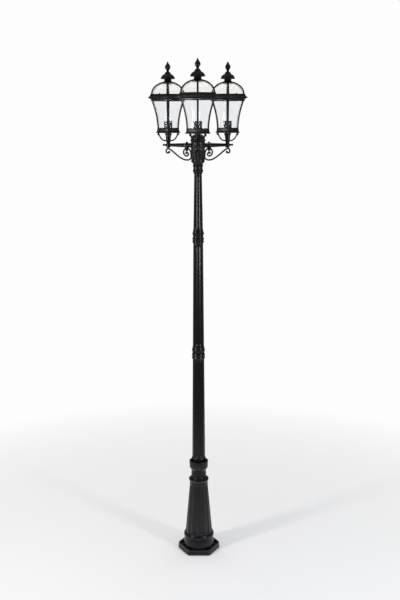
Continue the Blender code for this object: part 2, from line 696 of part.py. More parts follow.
def scroll_path():
    """The bar's centreline: outer curl, long curve to the sleeve, and inner curl."""
    bar = SCROLL_BAR_RADIUS
    crown = ARM_LEVEL - ARM_BOSS_DROP - CLEARANCE - bar
    curl = (LANTERN_REACH + 0.003, crown - OUTER_CURL_RADIUS)
    low = (SLEEVE_RADIUS + 0.031, ARM_LEVEL - SCROLL_DROP)
    wall = SLEEVE_RADIUS + CLEARANCE + bar
    under_arm = ARM_LEVEL - arm_radius(SLEEVE_RADIUS + ARM_COLLAR_GAP) - CLEARANCE - bar
    inner_u = SLEEVE_RADIUS + ARM_COLLAR_GAP + 0.5 * ARM_COLLAR_WIDTH
    inner_curl = (inner_u, under_arm - INNER_CURL_RADIUS)
    end_curl = (inner_u, inner_curl[1] - INNER_CURL_RADIUS + INNER_CURL_END_RADIUS)
    path = spiral(curl, 0.62 * OUTER_CURL_RADIUS, OUTER_CURL_RADIUS, 215.0, 450.0, 9)
    long_bar = 0.30 * (curl[0] - low[0])
    path += bezier((curl[0], crown), (curl[0] - 0.7 * long_bar, crown),
                   (low[0] + 1.3 * long_bar, low[1]), low, 6)
    path += bezier(low, (wall + 0.012, low[1]), (wall, low[1] + 0.006), (wall, low[1] + 0.018), 3)
    path += bezier((wall, low[1] + 0.018), (wall, under_arm - 0.015),
                   (wall + 0.009, under_arm), (inner_u, under_arm), 5)
    path += spiral(inner_curl, INNER_CURL_RADIUS, INNER_CURL_RADIUS, 90.0, -90.0, 7)[1:]
    path += spiral(end_curl, INNER_CURL_END_RADIUS, 0.55 * INNER_CURL_END_RADIUS,
                   -90.0, -300.0, 5)[1:]
    return path


def scroll_bracket():
    path = scroll_path()
    radii = [SCROLL_BAR_RADIUS] * len(path)
    for end in ((0, 1, 2), (-1, -2, -3)):
        for i, share in zip(end, (0.55, 1.0, 0.85)):
            radii[i] = share * SCROLL_BALL_RADIUS
    return swept("scroll_bracket", path, [round_section(r, WIRE_SIDES) for r in radii])


# ---------------------------------------------------------------- one lantern, about its axis
def lantern_stem():
    foot = STEM_FOOT
    top = foot + STEM_HEIGHT
    outline = [
        (WIRE_BORE_RADIUS, foot),
        (ARM_BOSS_RADIUS, foot),
        (ARM_BOSS_RADIUS, foot + 0.005),
        (STEM_RADIUS, foot + 0.009),
        (STEM_RADIUS, foot + 0.022),
        (STEM_TOP_RADIUS, foot + 0.028),
        (STEM_TOP_RADIUS, top),
        (NIPPLE_RADIUS, top),
        (NIPPLE_RADIUS, top + NIPPLE_LENGTH),
        (WIRE_BORE_RADIUS, top + NIPPLE_LENGTH),
    ]
    return turned("lantern_stem", outline, SMALL_SIDES)


def brace_wire():
    """One curved wire from the ring on the stem out to a knob under the pan."""
    start = (STEM_RADIUS + BRACE_RING_WALL - 0.001, STEM_FOOT + 0.011 + 0.5 * BRACE_RING_HEIGHT)
    knob = PAN_FOOT - CLEARANCE - BRACE_KNOB_RADIUS
    neck = (BRACE_SPREAD - 1.3 * BRACE_KNOB_RADIUS, knob - 0.004)
    path = [start]
    path += bezier(start, (0.62 * BRACE_SPREAD, start[1]), (neck[0] - 0.005, neck[1] - 0.012), neck, 4)
    path += [(BRACE_SPREAD + reach, knob) for reach in (-0.0030, 0.0030, 0.006)]
    radii = [BRACE_WIRE_RADIUS] * 5
    radii += [share * BRACE_KNOB_RADIUS for share in (1.0, 1.0, 0.3)]
    return swept("brace_wire", path, [round_section(r, WIRE_SIDES) for r in radii])


def lantern_braces():
    inner = STEM_RADIUS + CLEARANCE
    outer = inner + BRACE_RING_WALL
    low = STEM_FOOT + 0.011
    high = low + BRACE_RING_HEIGHT
    ring = turned("brace_ring", [(inner, low), (outer, low), (outer, high), (inner, high)], SMALL_SIDES)
    wires = repeated("brace_wires", brace_wire(), BRACE_ANGLES)
    return combined("lantern_braces", ring, [("UNION", wires)])


def lantern_pan():
    """The hexagonal bottom moulding, with the lantern's floor in it."""
    foot, edge = PAN_FOOT, PAN_RADIUS
    hole = (NIPPLE_RADIUS + CLEARANCE) / math.cos(math.radians(30.0))
    outline = [
        (hole, foot),
        (edge - 0.007, foot),
        (edge, foot + 0.001),
        (edge, foot + 0.004),
        (edge - 0.0045, foot + 0.0075),
        (edge - 0.0065, PAN_TOP - 0.002),
        (edge - 0.0075, PAN_TOP),
        (edge - 0.0130, PAN_TOP),
        (edge - 0.0130, foot + PAN_FLOOR),
        (hole, foot + PAN_FLOOR),
    ]
    return skin("lantern_pan", [hexagon(r, z) for r, z in outline], looped=True)


def body_radius(level):
    """Corner radius of the bell-shaped body at this level, over the outside of its ribs."""
    share = (level - BODY_FOOT) / BODY_HEIGHT
    return BODY_FOOT_RADIUS + (BODY_TOP_RADIUS - BODY_FOOT_RADIUS) * share ** BODY_FLARE


def body_glass_radius(level):
    return body_radius(level) - RIB_DEPTH - GLASS_GAP


def body_levels(foot, top):
    """Levels shared by the ribs and the glass, so that their flat stretches lie alongside."""
    steps = 4
    low = BODY_FOOT + BODY_GLASS_SEAT
    inner = [low + (BODY_TOP - low) * i / steps for i in range(1, steps)]
    return [foot] + inner + [top]


def rib_section():
    half = 0.5 * RIB_WIDTH
    return [(-half, 0.0), (half, 0.0), (half, RIB_DEPTH), (-half, RIB_DEPTH)]


def screw_reach():
    """Distance of the roof screws from the lantern's axis: the middle of the body's top ring."""
    inner = body_glass_radius(BODY_TOP) + GLASS_GAP
    outer = BODY_TOP_RADIUS + 0.003
    return 0.5 * (inner + outer) * math.cos(math.radians(30.0))


def screw_holes(low, high):
    hole = cylinder(SCREW_RADIUS + CLEARANCE, low, high, 6, screw_reach())
    return repeated("screw_holes", hole, SCREW_ANGLES.values())


def body_frame():
    """Six curved ribs between a foot ring and a top ring."""
    foot, top = BODY_FOOT, BODY_TOP
    ring_top = foot + BODY_FOOT_RING_HEIGHT
    seat = foot + BODY_GLASS_SEAT
    rebate = body_glass_radius(ring_top) + GLASS_GAP
    foot_outline = [
        (BODY_FOOT_RADIUS + 0.002, foot),
        (BODY_FOOT_RADIUS + 0.002, ring_top - 0.002),
        (BODY_FOOT_RADIUS + 0.001, ring_top),
        (rebate, ring_top),
        (rebate, seat),
        (rebate - 0.005, seat),
        (rebate - 0.005, foot),
    ]
    ring = skin("foot_ring", [hexagon(r, z) for r, z in foot_outline], looped=True)
    inner = body_glass_radius(top) + GLASS_GAP
    outer = BODY_TOP_RADIUS + 0.003
    low = top - BODY_TOP_RING_HEIGHT
    top_outline = [(inner, low), (outer, low), (outer, top), (inner, top)]
    top_ring = skin("top_ring", [hexagon(r, z) for r, z in top_outline], looped=True)
    levels = body_levels(seat, top - 0.6 * RIB_DEPTH)
    rib = swept("rib", [(body_radius(z), z) for z in levels], [rib_section()] * len(levels))
    steps = [
        ("UNION", repeated("ribs", rib, range(0, 360, 60))),
        ("UNION", top_ring),
        ("DIFFERENCE", screw_holes(low - 0.002, top + 0.002)),
    ]
    return combined("body_frame", ring, steps)


def body_glass():
    """A bell-shaped hexagonal shell of clear glass that stands in the foot ring."""
    levels = body_levels(BODY_FOOT + BODY_GLASS_SEAT + CLEARANCE, BODY_TOP - CLEARANCE)
    wall = GLASS_THICKNESS / math.cos(math.radians(30.0))
    outside = [hexagon(body_glass_radius(z), z) for z in levels]
    inside = [hexagon(body_glass_radius(z) - wall, z) for z in reversed(levels)]
    return skin("body_glass", outside + inside, looped=True)


def lamp_holder():
    foot = HOLDER_FOOT
    hole = NIPPLE_RADIUS + CLEARANCE
    inner = HOLDER_RADIUS - HOLDER_WALL
    outline = [
        (hole, foot),
        (HOLDER_RADIUS, foot),
        (HOLDER_RADIUS, foot + HOLDER_HEIGHT - 0.002),
        (HOLDER_RADIUS - 0.002, foot + HOLDER_HEIGHT),
        (inner, foot + HOLDER_HEIGHT),
        (inner, foot + HOLDER_FLOOR),
        (hole, foot + HOLDER_FLOOR),
    ]
    return turned("lamp_holder", outline, SMALL_SIDES)


def contact_shell():
    """The brass cup that a lamp screws into."""
    foot = HOLDER_FOOT + HOLDER_FLOOR + CLEARANCE
    outer = HOLDER_RADIUS - HOLDER_WALL - CLEARANCE
    inner = outer - SHELL_WALL
    outline = [
        (inner, foot + SHELL_WALL),
        (inner, foot + SHELL_HEIGHT),
        (outer, foot + SHELL_HEIGHT),
        (outer, foot),
    ]
    return turned("contact_shell", outline, SMALL_SIDES, looped=False)


def dome_side(radius, rise):
    """Points of a dome's side as (radius, height), from the eave up to the glass's opening. The
    ribs and the glass take the same angles, so that their flat stretches lie alongside."""
    steps = 5
    last = math.acos(DOME_OPENING / GLASS_DOME_RADIUS)
    turns = [last * i / steps for i in range(steps + 1)]
    return [(radius * math.cos(a), EAVE_TOP + rise * math.sin(a)) for a in turns]


def eave_ring():
    """The wide hexagonal moulding at the foot of the roof, with a ledge for the dome's glass."""
    foot, edge = EAVE_FOOT, EAVE_RADIUS
    recess = GLASS_DOME_RADIUS + GLASS_GAP
    outline = [
        (edge - 0.0200, foot),
        (edge - 0.0130, foot + 0.0035),
        (edge - 0.0020, foot + 0.0085),
        (edge, foot + 0.0100),
        (edge - 0.0010, foot + 0.0140),
        (edge - 0.0100, foot + 0.0185),
        (edge - 0.0140, foot + 0.0240),
        (edge - 0.0140, EAVE_TOP),
        (recess, EAVE_TOP),
        (recess, EAVE_TOP - EAVE_LEDGE),
        (recess - 0.007, EAVE_TOP - EAVE_LEDGE),
        (recess - 0.007, foot),
    ]
    return skin("eave_ring", [hexagon(r, z) for r, z in outline], looped=True)


def roof_hub():
    """The disc where the dome's ribs meet, and the chimney on it."""
    bore = CHIMNEY_RADIUS - CHIMNEY_WALL
    stud = STUD_RADIUS + CLEARANCE
    disc = HUB_FOOT + HUB_THICKNESS
    outline = [
        (bore, HUB_FOOT),
        (HUB_RADIUS, HUB_FOOT),
        (HUB_RADIUS, HUB_FOOT + 0.4 * HUB_THICKNESS),
        (CHIMNEY_RADIUS + 0.003, disc),
        (CHIMNEY_RADIUS, disc + 0.002),
        (CHIMNEY_RADIUS, CHIMNEY_TOP),
        (stud, CHIMNEY_TOP),
        (stud, CHIMNEY_TOP - CHIMNEY_WALL),
        (bore, CHIMNEY_TOP - CHIMNEY_WALL),
    ]
    return turned("roof_hub", outline, SMALL_SIDES)


def roof_frame():
    inner = CHIMNEY_RADIUS - 0.001
    path = [(DOME_RADIUS, EAVE_TOP - 0.004)] + dome_side(DOME_RADIUS, DOME_RISE)
    path += [(inner, EAVE_TOP + dome_height(inner, DOME_RADIUS, DOME_RISE))]
    rib = swept("dome_rib", path, [rib_section()] * len(path))
    steps = [
        ("UNION", repeated("dome_ribs", rib, range(0, 360, 60))),
        ("UNION", roof_hub()),
        ("DIFFERENCE", screw_holes(EAVE_FOOT - 0.002, EAVE_TOP + 0.002)),
    ]
    return combined("roof_frame", eave_ring(), steps)


def roof_glass():
    """A hexagonal dome of clear glass, open at the top under the hub."""
    foot = EAVE_TOP - EAVE_LEDGE + CLEARANCE
    wall = GLASS_THICKNESS / math.cos(math.radians(30.0))
    outer, rise = GLASS_DOME_RADIUS, GLASS_DOME_RISE
    outside = [(outer, foot)] + dome_side(outer, rise)
    inside = list(reversed(dome_side(outer - wall, rise - GLASS_THICKNESS)))
    inside += [(outer - wall, foot)]
    return skin("roof_glass", [hexagon(r, z) for r, z in outside + inside], looped=True)


def vent_cap():
    """A mushroom-shaped hood over the chimney."""
    foot, edge = VENT_CAP_FOOT, VENT_CAP_RADIUS
    top = foot + VENT_CAP_HEIGHT
    seat = foot + VENT_CAP_SKIRT
    stud = STUD_RADIUS + CLEARANCE
    outline = [
        (stud, seat),
        (CHIMNEY_RADIUS + 0.0015, seat),
        (CHIMNEY_RADIUS + 0.0040, seat + 0.004),
        (edge - 0.0040, foot + 0.0035),
        (edge - 0.0010, foot),
        (edge, foot + 0.0030),
        (edge - 0.0030, foot + 0.0110),
        (edge - 0.0095, foot + 0.0190),
        (edge - 0.0185, foot + 0.0245),
        (FINIAL_BASE_RADIUS, top),
        (stud, top),
    ]
    return turned("vent_cap", outline, SMALL_SIDES)


def finial():
    """An acorn with a flared foot, on a threaded stud."""
    foot, full = FINIAL_FOOT, FINIAL_RADIUS
    outline = [
        (STUD_RADIUS, foot - STUD_LENGTH),
        (STUD_RADIUS, foot),
        (FINIAL_BASE_RADIUS, foot),
        (FINIAL_BASE_RADIUS - 0.001, foot + 0.003),
        (0.60 * full, foot + 0.20 * FINIAL_HEIGHT),
        (0.78 * full, foot + 0.27 * FINIAL_HEIGHT),
        (0.74 * full, foot + 0.33 * FINIAL_HEIGHT),
        (full, foot + 0.50 * FINIAL_HEIGHT),
        (full, foot + 0.60 * FINIAL_HEIGHT),
        (0.60 * full, foot + 0.82 * FINIAL_HEIGHT),
        (0.05 * full, foot + FINIAL_HEIGHT),
    ]
    return turned("finial", outline, SMALL_SIDES, looped=False)


def roof_screw(angle):
    """A cheese-head screw through the eave moulding into the body's top ring."""
    head = EAVE_TOP + CLEARANCE
    outline = [
        (SCREW_RADIUS, BODY_TOP - BODY_TOP_RING_HEIGHT + 0.001),
        (SCREW_RADIUS, head),
        (SCREW_HEAD_RADIUS, head),
        (SCREW_HEAD_RADIUS, head + 0.7 * SCREW_HEAD_HEIGHT),
        (0.6 * SCREW_HEAD_RADIUS, head + SCREW_HEAD_HEIGHT),
    ]
    mesh = turned("roof_screw", outline, 6, looped=False)
    for vertex in mesh.vertices:
        vertex.co.x += screw_reach()
    return repeated("roof_screw", mesh, [angle])


# ---------------------------------------------------------------- the assembly
def empty(name, parent=None, reach=0.0, direction=0.0):
    """A point on an axis that pieces are parented to."""
    point = bpy.data.objects.new(name, None)
    bpy.context.collection.objects.link(point)
    point.parent = parent
    point.location = (reach, 0.0, 0.0)
    point.rotation_euler = (0.0, 0.0, math.radians(direction))
    return point


def place(name, mesh, finish, parent):
    """One named piece. Copies share their mesh and each have their own surface."""
    piece = bpy.data.objects.new(name, mesh)
    bpy.context.collection.objects.link(piece)
    piece.parent = parent
    if not mesh.materials:
        mesh.materials.append(None)
    piece.material_slots[0].link = "OBJECT"
    piece.material_slots[0].material = finish(name)
    mesh.shade_smooth()
    mesh.set_sharp_from_angle(angle=math.radians(35.0))
    return piece


def build_post():
    post = empty("post_axis")
    collar_spigot = LOWER_COLLAR_RADII[2] - CLEARANCE
    upper_spigot = UPPER_COLLAR_RADII[2] - CLEARANCE
    foot_depth = LOWER_POLE_FOOT - (BASE_TOP - FOOT_SOCKET_DEPTH + 0.002)
    place("base_casting", base_casting(), black_coat, post)
    place("terminal_block", terminal_block(), black_plastic, post)
    place("lock_ring", lock_ring(), black_coat, post)
    lower = pole("lower_pole", LOWER_POLE_FOOT, LOWER_POLE_HEAD, LOWER_POLE_RADII,
                 (LOWER_FOOT_SPIGOT_RADIUS, foot_depth), (collar_spigot, SPIGOT_LENGTH),
                 LOWER_BORE_RADIUS, plain_foot=0.054,
                 bead=(LOWER_POLE_BEAD_RADIUS, LOWER_POLE_FOOT + 0.032, 0.019))
    place("lower_pole", lower, black_coat, post)
    place("lower_joint_collar",
          joint_collar("lower_joint_collar", LOWER_COLLAR_FOOT, LOWER_COLLAR_RADII), black_coat, post)
    middle = pole("middle_pole", MIDDLE_POLE_FOOT, MIDDLE_POLE_HEAD, MIDDLE_POLE_RADII,
                  (collar_spigot, SPIGOT_LENGTH), (upper_spigot, SPIGOT_LENGTH), MIDDLE_BORE_RADIUS)
    place("middle_pole", middle, black_coat, post)
    place("upper_joint_collar",
          joint_collar("upper_joint_collar", UPPER_COLLAR_FOOT, UPPER_COLLAR_RADII), black_coat, post)
    head_spigot = CAPITAL_NECK_SOCKET_RADIUS - CLEARANCE
    upper = pole("upper_pole", UPPER_POLE_FOOT, UPPER_POLE_HEAD, UPPER_POLE_RADII,
                 (upper_spigot, SPIGOT_LENGTH), (head_spigot, SPIGOT_LENGTH), UPPER_BORE_RADIUS)
    place("upper_pole", upper, black_coat, post)
    place("capital_neck", capital_neck(), black_coat, post)
    place("capital_sleeve", capital_sleeve(), black_coat, post)
    place("capital_cap", capital_cap(), black_coat, post)


def build_arms():
    """Three arms, each with its lantern. The roof and the finial have their origins on the
    lantern's axis, where the roof lifts off and the finial unscrews."""
    arm_pieces = {"arm": arm(), "arm_collar": arm_collar(), "scroll_bracket": scroll_bracket()}
    lantern_pieces = {
        "lantern_stem": (lantern_stem(), black_coat),
        "lantern_braces": (lantern_braces(), black_coat),
        "lantern_pan": (lantern_pan(), black_coat),
        "lamp_holder": (lamp_holder(), black_plastic),
        "contact_shell": (contact_shell(), brass),
        "body_frame": (body_frame(), black_coat),
        "body_glass": (body_glass(), clear_glass),
        "roof_frame": (roof_frame(), black_coat),
        "roof_glass": (roof_glass(), clear_glass),
        "vent_cap": (vent_cap(), black_coat),
        "finial": (finial(), black_coat),
    }
    for letter, angle in SCREW_ANGLES.items():
        lantern_pieces["roof_screw_" + letter] = (roof_screw(angle), black_coat)
    for where, direction in ARMS.items():
        arm_axis = empty("arm_axis_" + where, direction=direction)
        lantern_axis = empty("lantern_axis_" + where, arm_axis, LANTERN_REACH)
        for name, mesh in arm_pieces.items():
            place(name + "_" + where, mesh, black_coat, arm_axis)
        for name, (mesh, finish) in lantern_pieces.items():
            place(name + "_" + where, mesh, finish, lantern_axis)


def main():
    for obj in list(bpy.data.objects):
        bpy.data.objects.remove(obj, do_unlink=True)
    build_post()
    build_arms()


main()
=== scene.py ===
"""Looks of the three-arm street lamp post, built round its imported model.

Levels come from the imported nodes. Each arm and lantern is shaped once, lying along +X, and then
turned to its direction, so every shape below is described for an arm along +X.
"""

import math

import bmesh
import bpy
from mathutils import Matrix, Vector

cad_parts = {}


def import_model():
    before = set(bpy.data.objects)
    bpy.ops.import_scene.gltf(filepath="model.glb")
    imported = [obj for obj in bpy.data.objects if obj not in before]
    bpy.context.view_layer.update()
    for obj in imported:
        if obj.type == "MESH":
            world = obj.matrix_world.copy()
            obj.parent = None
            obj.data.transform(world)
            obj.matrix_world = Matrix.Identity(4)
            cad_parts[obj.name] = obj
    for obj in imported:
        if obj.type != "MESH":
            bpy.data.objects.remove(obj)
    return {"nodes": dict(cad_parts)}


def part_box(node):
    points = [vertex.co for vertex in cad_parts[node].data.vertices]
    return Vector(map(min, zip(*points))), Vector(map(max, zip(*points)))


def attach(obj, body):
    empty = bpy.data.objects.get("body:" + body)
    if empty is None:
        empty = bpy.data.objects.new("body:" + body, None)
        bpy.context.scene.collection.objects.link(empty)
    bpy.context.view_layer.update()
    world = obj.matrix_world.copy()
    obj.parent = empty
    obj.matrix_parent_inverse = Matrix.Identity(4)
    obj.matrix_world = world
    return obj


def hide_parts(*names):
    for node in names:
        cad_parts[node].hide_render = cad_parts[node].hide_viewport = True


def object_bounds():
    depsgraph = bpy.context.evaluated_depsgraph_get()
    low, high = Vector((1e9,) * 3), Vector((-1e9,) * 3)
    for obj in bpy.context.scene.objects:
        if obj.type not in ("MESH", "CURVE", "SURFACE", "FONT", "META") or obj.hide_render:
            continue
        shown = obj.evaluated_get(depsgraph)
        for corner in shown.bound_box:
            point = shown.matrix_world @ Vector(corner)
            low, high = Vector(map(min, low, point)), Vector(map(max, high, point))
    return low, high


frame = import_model()
cad_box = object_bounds()

ARMS = {"front": -90.0, "right": 30.0, "left": 150.0}  # direction of each arm, in degrees
HEX = math.cos(math.radians(30.0))  # a hexagon's flat, as a share of its corner radius
FIRST_RIDGE = -90.0  # the ridge between flutes that faces the front
GAP = 0.0003


def span(node):
    """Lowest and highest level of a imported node."""
    low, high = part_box(node)
    return low.z, high.z


# ---------------- driving dimensions
# Base
PLATE_RADIUS = 0.120
PLATE_HEIGHT = 0.033
PLATE_STEP = 0.002
PLATE_CORNER_CUT = 0.011
PLATE_RIM = 0.007
RECESS_HALF_LENGTH = 0.036
RECESS_RISE = 0.0085
RECESS_DEPTH = 0.006
POCKET_DEPTH = 0.011
ANCHOR_RADIUS = 0.0055
ANCHOR_CIRCLE = 0.098
BASE_FLOOR = 0.008
CABLE_HOLE_RADIUS = 0.012
CABLE_HOLE_CIRCLE = 0.036
DRUM_RADIUS = 0.086
DRUM_TOP_RADIUS = 0.080
DRUM_TOP = 0.076
DRUM_RING_RADIUS = 0.0855
CONE_FOOT = 0.106
CONE_TOP = 0.393
CONE_RADII = (0.075, 0.0495)
CONE_WALL = 0.008
FLARE_FOOT = 0.4045
FLARE_RADIUS = 0.0555
FLARE_HEIGHT = 0.033
NECK_RADIUS = 0.0415
BASE_FLUTES = 12
BASE_FLUTE_DEPTH = 0.0046

# Lock ring and poles
LOCK_RING_RADIUS = 0.0522
LOCK_CUP_RADIUS = 0.0450
LOCK_CUP_DEPTH = 0.018
FOOT_SPIGOT_RADIUS = 0.0330
POLE_FLUTES = 8
POLE_FLUTE_DEPTH = 0.0024
LOWER_RADII = (0.0360, 0.0312)
MIDDLE_RADII = (0.0305, 0.0262)
UPPER_RADII = (0.0253, 0.0201)
POLE_BORES = (0.0240, 0.0190, 0.0130)
LOWER_BEAD_RADIUS = 0.0390
LOWER_BEAD_LEVEL = 0.032  # above the pole's foot
FLUTE_WIDTH = 0.7  # of the space from ridge to ridge

# Collars and capital
LOWER_COLLAR = (0.0357, 0.0330, 0.0285)
UPPER_COLLAR = (0.0312, 0.0278, 0.0238)
COLLAR_TOP_BEAD_DROP = 0.003
NECK_RING_RADIUS = 0.0278
NECK_VALLEY_RADIUS = 0.0244
NECK_SOCKET_RADIUS = 0.0180
NECK_SPIGOT_RADIUS = 0.0200
NECK_SPIGOT_LENGTH = 0.018
SLEEVE_RADIUS = 0.0365
SLEEVE_WALL = 0.006
SLEEVE_LEAVES = 8
LEAF_RELIEF = 0.0026
CAP_RADIUS = 0.0400

# Arms
ARM_BOSS_RADIUS = 0.0108
ARM_BOSS_DROP = 0.0145
ARM_BOSS_HEIGHT = 0.0085
ARM_ROOT_RADIUS = 0.0125
ARM_SEAT_RADIUS = 0.0075
ARM_TIP_RADIUS = 0.0045
ARM_OVERHANG = 0.035
ARM_SPIGOT_RADIUS = 0.0080
ARM_COLLAR_GAP = 0.026
ARM_COLLAR_WIDTH = 0.010
ARM_COLLAR_WALL = 0.0026
ARM_COLLAR_POINT = 0.0055
SCROLL_BAR_RADIUS = 0.0042
SCROLL_BALL_RADIUS = 0.0066
OUTER_CURL_RADIUS = 0.0135
INNER_CURL_RADIUS = 0.0199
INNER_CURL_END_RADIUS = 0.0111
SCROLL_DROP = 0.0765

# Lantern
STEM_RADIUS = 0.0130
STEM_TOP_RADIUS = 0.0140
NIPPLE_RADIUS = 0.0055
NIPPLE_LENGTH = 0.011
WIRE_BORE = 0.0035
BRACE_RING_WALL = 0.0032
BRACE_RING_LEVEL = 0.011  # above the stem's foot
BRACE_RING_HEIGHT = 0.006
BRACE_WIRE_RADIUS = 0.0036
BRACE_KNOB_RADIUS = 0.0064
BRACE_SPREAD = 0.053
BRACE_ANGLES = (45.0, 135.0, 225.0, 315.0)
PAN_RADIUS = 0.073
PAN_FLOOR = 0.004
BODY_FOOT_RADIUS = 0.0635
BODY_TOP_RADIUS = 0.0980
BODY_FLARE = 1.9
RIB_WIDTH = 0.0095
RIB_DEPTH = 0.0050
GLASS_THICKNESS = 0.0025
GLASS_GAP = 0.0006
GLASS_SEAT = 0.003
HOLDER_RADIUS = 0.0216
HOLDER_WALL = 0.0065
HOLDER_FLOOR = 0.008
EAVE_RADIUS = 0.1175
EAVE_HEIGHT = 0.029
EAVE_LEDGE = 0.006
DOME_RADIUS = 0.098
DOME_RISE = 0.0655
DOME_OPENING = 0.028
HUB_RADIUS = 0.030
HUB_THICKNESS = 0.007
CHIMNEY_RADIUS = 0.019
CHIMNEY_WALL = 0.004
CHIMNEY_HEIGHT = 0.0175
VENT_CAP_RADIUS = 0.0375
VENT_CAP_SKIRT = 0.0048
FINIAL_BASE_RADIUS = 0.0155
FINIAL_RADIUS = 0.0145
STUD_RADIUS = 0.0030
SCREW_RADIUS = 0.0018
SCREW_HEAD_RADIUS = 0.0038

# Fineness
ROUND = 96
SMALL_ROUND = 48
BAR_SIDES = 16

# ---------------- levels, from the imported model
BASE_TOP = span("base_casting")[1]
SLEEVE_FOOT, SLEEVE_TOP = span("capital_sleeve")
ARM_LEVEL = span("arm_front")[0] + ARM_BOSS_DROP
REACH = -0.5 * (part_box("finial_front")[0].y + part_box("finial_front")[1].y)
STEM_FOOT = span("lantern_stem_front")[0]
PAN_FOOT, PAN_TOP = span("lantern_pan_front")
BODY_FOOT, BODY_TOP = span("body_frame_front")
EAVE_FOOT = span("roof_frame_front")[0]
EAVE_TOP = EAVE_FOOT + EAVE_HEIGHT
CHIMNEY_TOP = span("roof_frame_front")[1]
HUB_FOOT = CHIMNEY_TOP - CHIMNEY_HEIGHT - HUB_THICKNESS
GLASS_DOME_RADIUS = DOME_RADIUS - RIB_DEPTH - GLASS_GAP
GLASS_DOME_RISE = DOME_RISE - RIB_DEPTH - GLASS_GAP


# ---------------- materials
class Finish:
    """A material's nodes, added one by one."""

    def __init__(self, name):
        self.material = bpy.data.materials.new(name)
        self.material.use_nodes = True
        self.tree = self.material.node_tree
        self.shader = self.tree.nodes["Principled BSDF"]
        self.place = self.tree.nodes.new("ShaderNodeTexCoord").outputs["Object"]

    def set(self, **values):
        for key, value in values.items():
            self.shader.inputs[key.replace("_", " ")].default_value = value

    def add(self, kind, **values):
        node = self.tree.nodes.new(kind)
        for key, value in values.items():
            setattr(node, key, value)
        return node

    def link(self, output, target):
        self.tree.links.new(output, target)

    def noise(self, scale, detail=3.0, stretch=None):
        node = self.add("ShaderNodeTexNoise")
        node.inputs["Scale"].default_value = scale
        node.inputs["Detail"].default_value = detail
        place = self.place
        if stretch:
            mapping = self.add("ShaderNodeMapping")
            mapping.inputs["Scale"].default_value = stretch
            self.link(place, mapping.inputs["Vector"])
            place = mapping.outputs["Vector"]
        self.link(place, node.inputs["Vector"])
        return node.outputs["Fac"]

    def spread(self, factor, low, high, start=0.3, end=0.7):
        """The factor's middle range spread over low to high."""
        node = self.add("ShaderNodeMapRange")
        for key, value in (("From Min", start), ("From Max", end), ("To Min", low), ("To Max", high)):
            node.inputs[key].default_value = value
        self.link(factor, node.inputs["Value"])
        return node.outputs["Result"]

    def mix(self, factor, first, second):
        node = self.add("ShaderNodeMix", data_type="RGBA")
        self.link(factor, node.inputs["Factor"])
        for value, target in ((first, node.inputs["A"]), (second, node.inputs["B"])):
            if isinstance(value, tuple):
                target.default_value = (*value, 1.0)
            else:
                self.link(value, target)
        return node.outputs["Result"]

    def bump(self, layers):
        """Bumps on one another, each as (height, distance in metres)."""
        normal = None
        for height, distance in layers:
            node = self.add("ShaderNodeBump")
            node.inputs["Distance"].default_value = distance
            self.link(height, node.inputs["Height"])
            if normal:
                self.link(normal, node.inputs["Normal"])
            normal = node.outputs["Normal"]
        self.link(normal, self.shader.inputs["Normal"])


def coated_metal(name, roughness, grain, edge=0.5):
    """Black powder coat: fine orange peel, the casting's own unevenness, and a painted highlight that
    lightens the edges (edge sets how strong it is).
    """
    finish = Finish(name)
    finish.set(IOR=1.36, Coat_Weight=0.20, Coat_Roughness=0.10)
    cloud = finish.spread(finish.noise(22.0), 0.0, 1.0)
    body = finish.mix(cloud, (0.0030, 0.0031, 0.0042), (0.0060, 0.0060, 0.0078))
    # Painted highlight: where the mesh is pointy (on edges), the colour is lightened towards a pale grey.
    painted_edge_highlight = finish.spread(finish.add("ShaderNodeNewGeometry").outputs["Pointiness"], 0.0, edge, 0.52, 0.62)
    edge_highlighted_colour = finish.mix(painted_edge_highlight, body, (0.017, 0.0165, 0.019))
    finish.link(edge_highlighted_colour, finish.shader.inputs["Base Color"])
    low, high = roughness
    finish.link(finish.spread(finish.noise(160.0), low, high), finish.shader.inputs["Roughness"])
    peel = finish.noise(1500.0, 1.0)
    swell = finish.noise(90.0, 2.0)
    finish.bump([(swell, grain), (peel, 0.00005)])
    return finish.material


def clear_glass(name, tint):
    """Slightly uneven drawn glass with a breath of dust. Its index is kept below real glass's, or
    the reflected softboxes would hide the lamp holders."""
    finish = Finish(name)
    finish.set(Transmission_Weight=1.0, IOR=1.18)
    dust = finish.spread(finish.noise(35.0), 0.0, 1.0, 0.45, 0.8)
    grey = tuple(0.965 * share for share in tint)
    finish.link(finish.mix(dust, tint, grey), finish.shader.inputs["Base Color"])
    finish.link(finish.spread(finish.noise(60.0), 0.0, 0.035), finish.shader.inputs["Roughness"])
    finish.bump([(finish.noise(14.0, 1.0, (1.0, 1.0, 0.35)), 0.0008)])
    return finish.material


def moulded_plastic(name):
    """Matt black phenolic, a little mottled."""
    finish = Finish(name)
    mottle = finish.spread(finish.noise(240.0), 0.0, 1.0)
    colour = finish.mix(mottle, (0.010, 0.010, 0.012), (0.021, 0.020, 0.022))
    finish.link(colour, finish.shader.inputs["Base Color"])
    finish.link(finish.spread(finish.noise(120.0), 0.34, 0.50), finish.shader.inputs["Roughness"])
    finish.bump([(finish.noise(800.0, 2.0), 0.00006)])
    return finish.material


def tarnished_brass(name):
    finish = Finish(name)
    finish.set(Metallic=1.0)
    tarnish = finish.spread(finish.noise(90.0), 0.0, 1.0, 0.4, 0.75)
    colour = finish.mix(tarnish, (0.72, 0.52, 0.22), (0.36, 0.25, 0.11))
    finish.link(colour, finish.shader.inputs["Base Color"])
    finish.link(finish.spread(finish.noise(200.0), 0.20, 0.42), finish.shader.inputs["Roughness"])
    finish.bump([(finish.noise(500.0, 2.0, (1.0, 1.0, 6.0)), 0.00003)])
    return finish.material
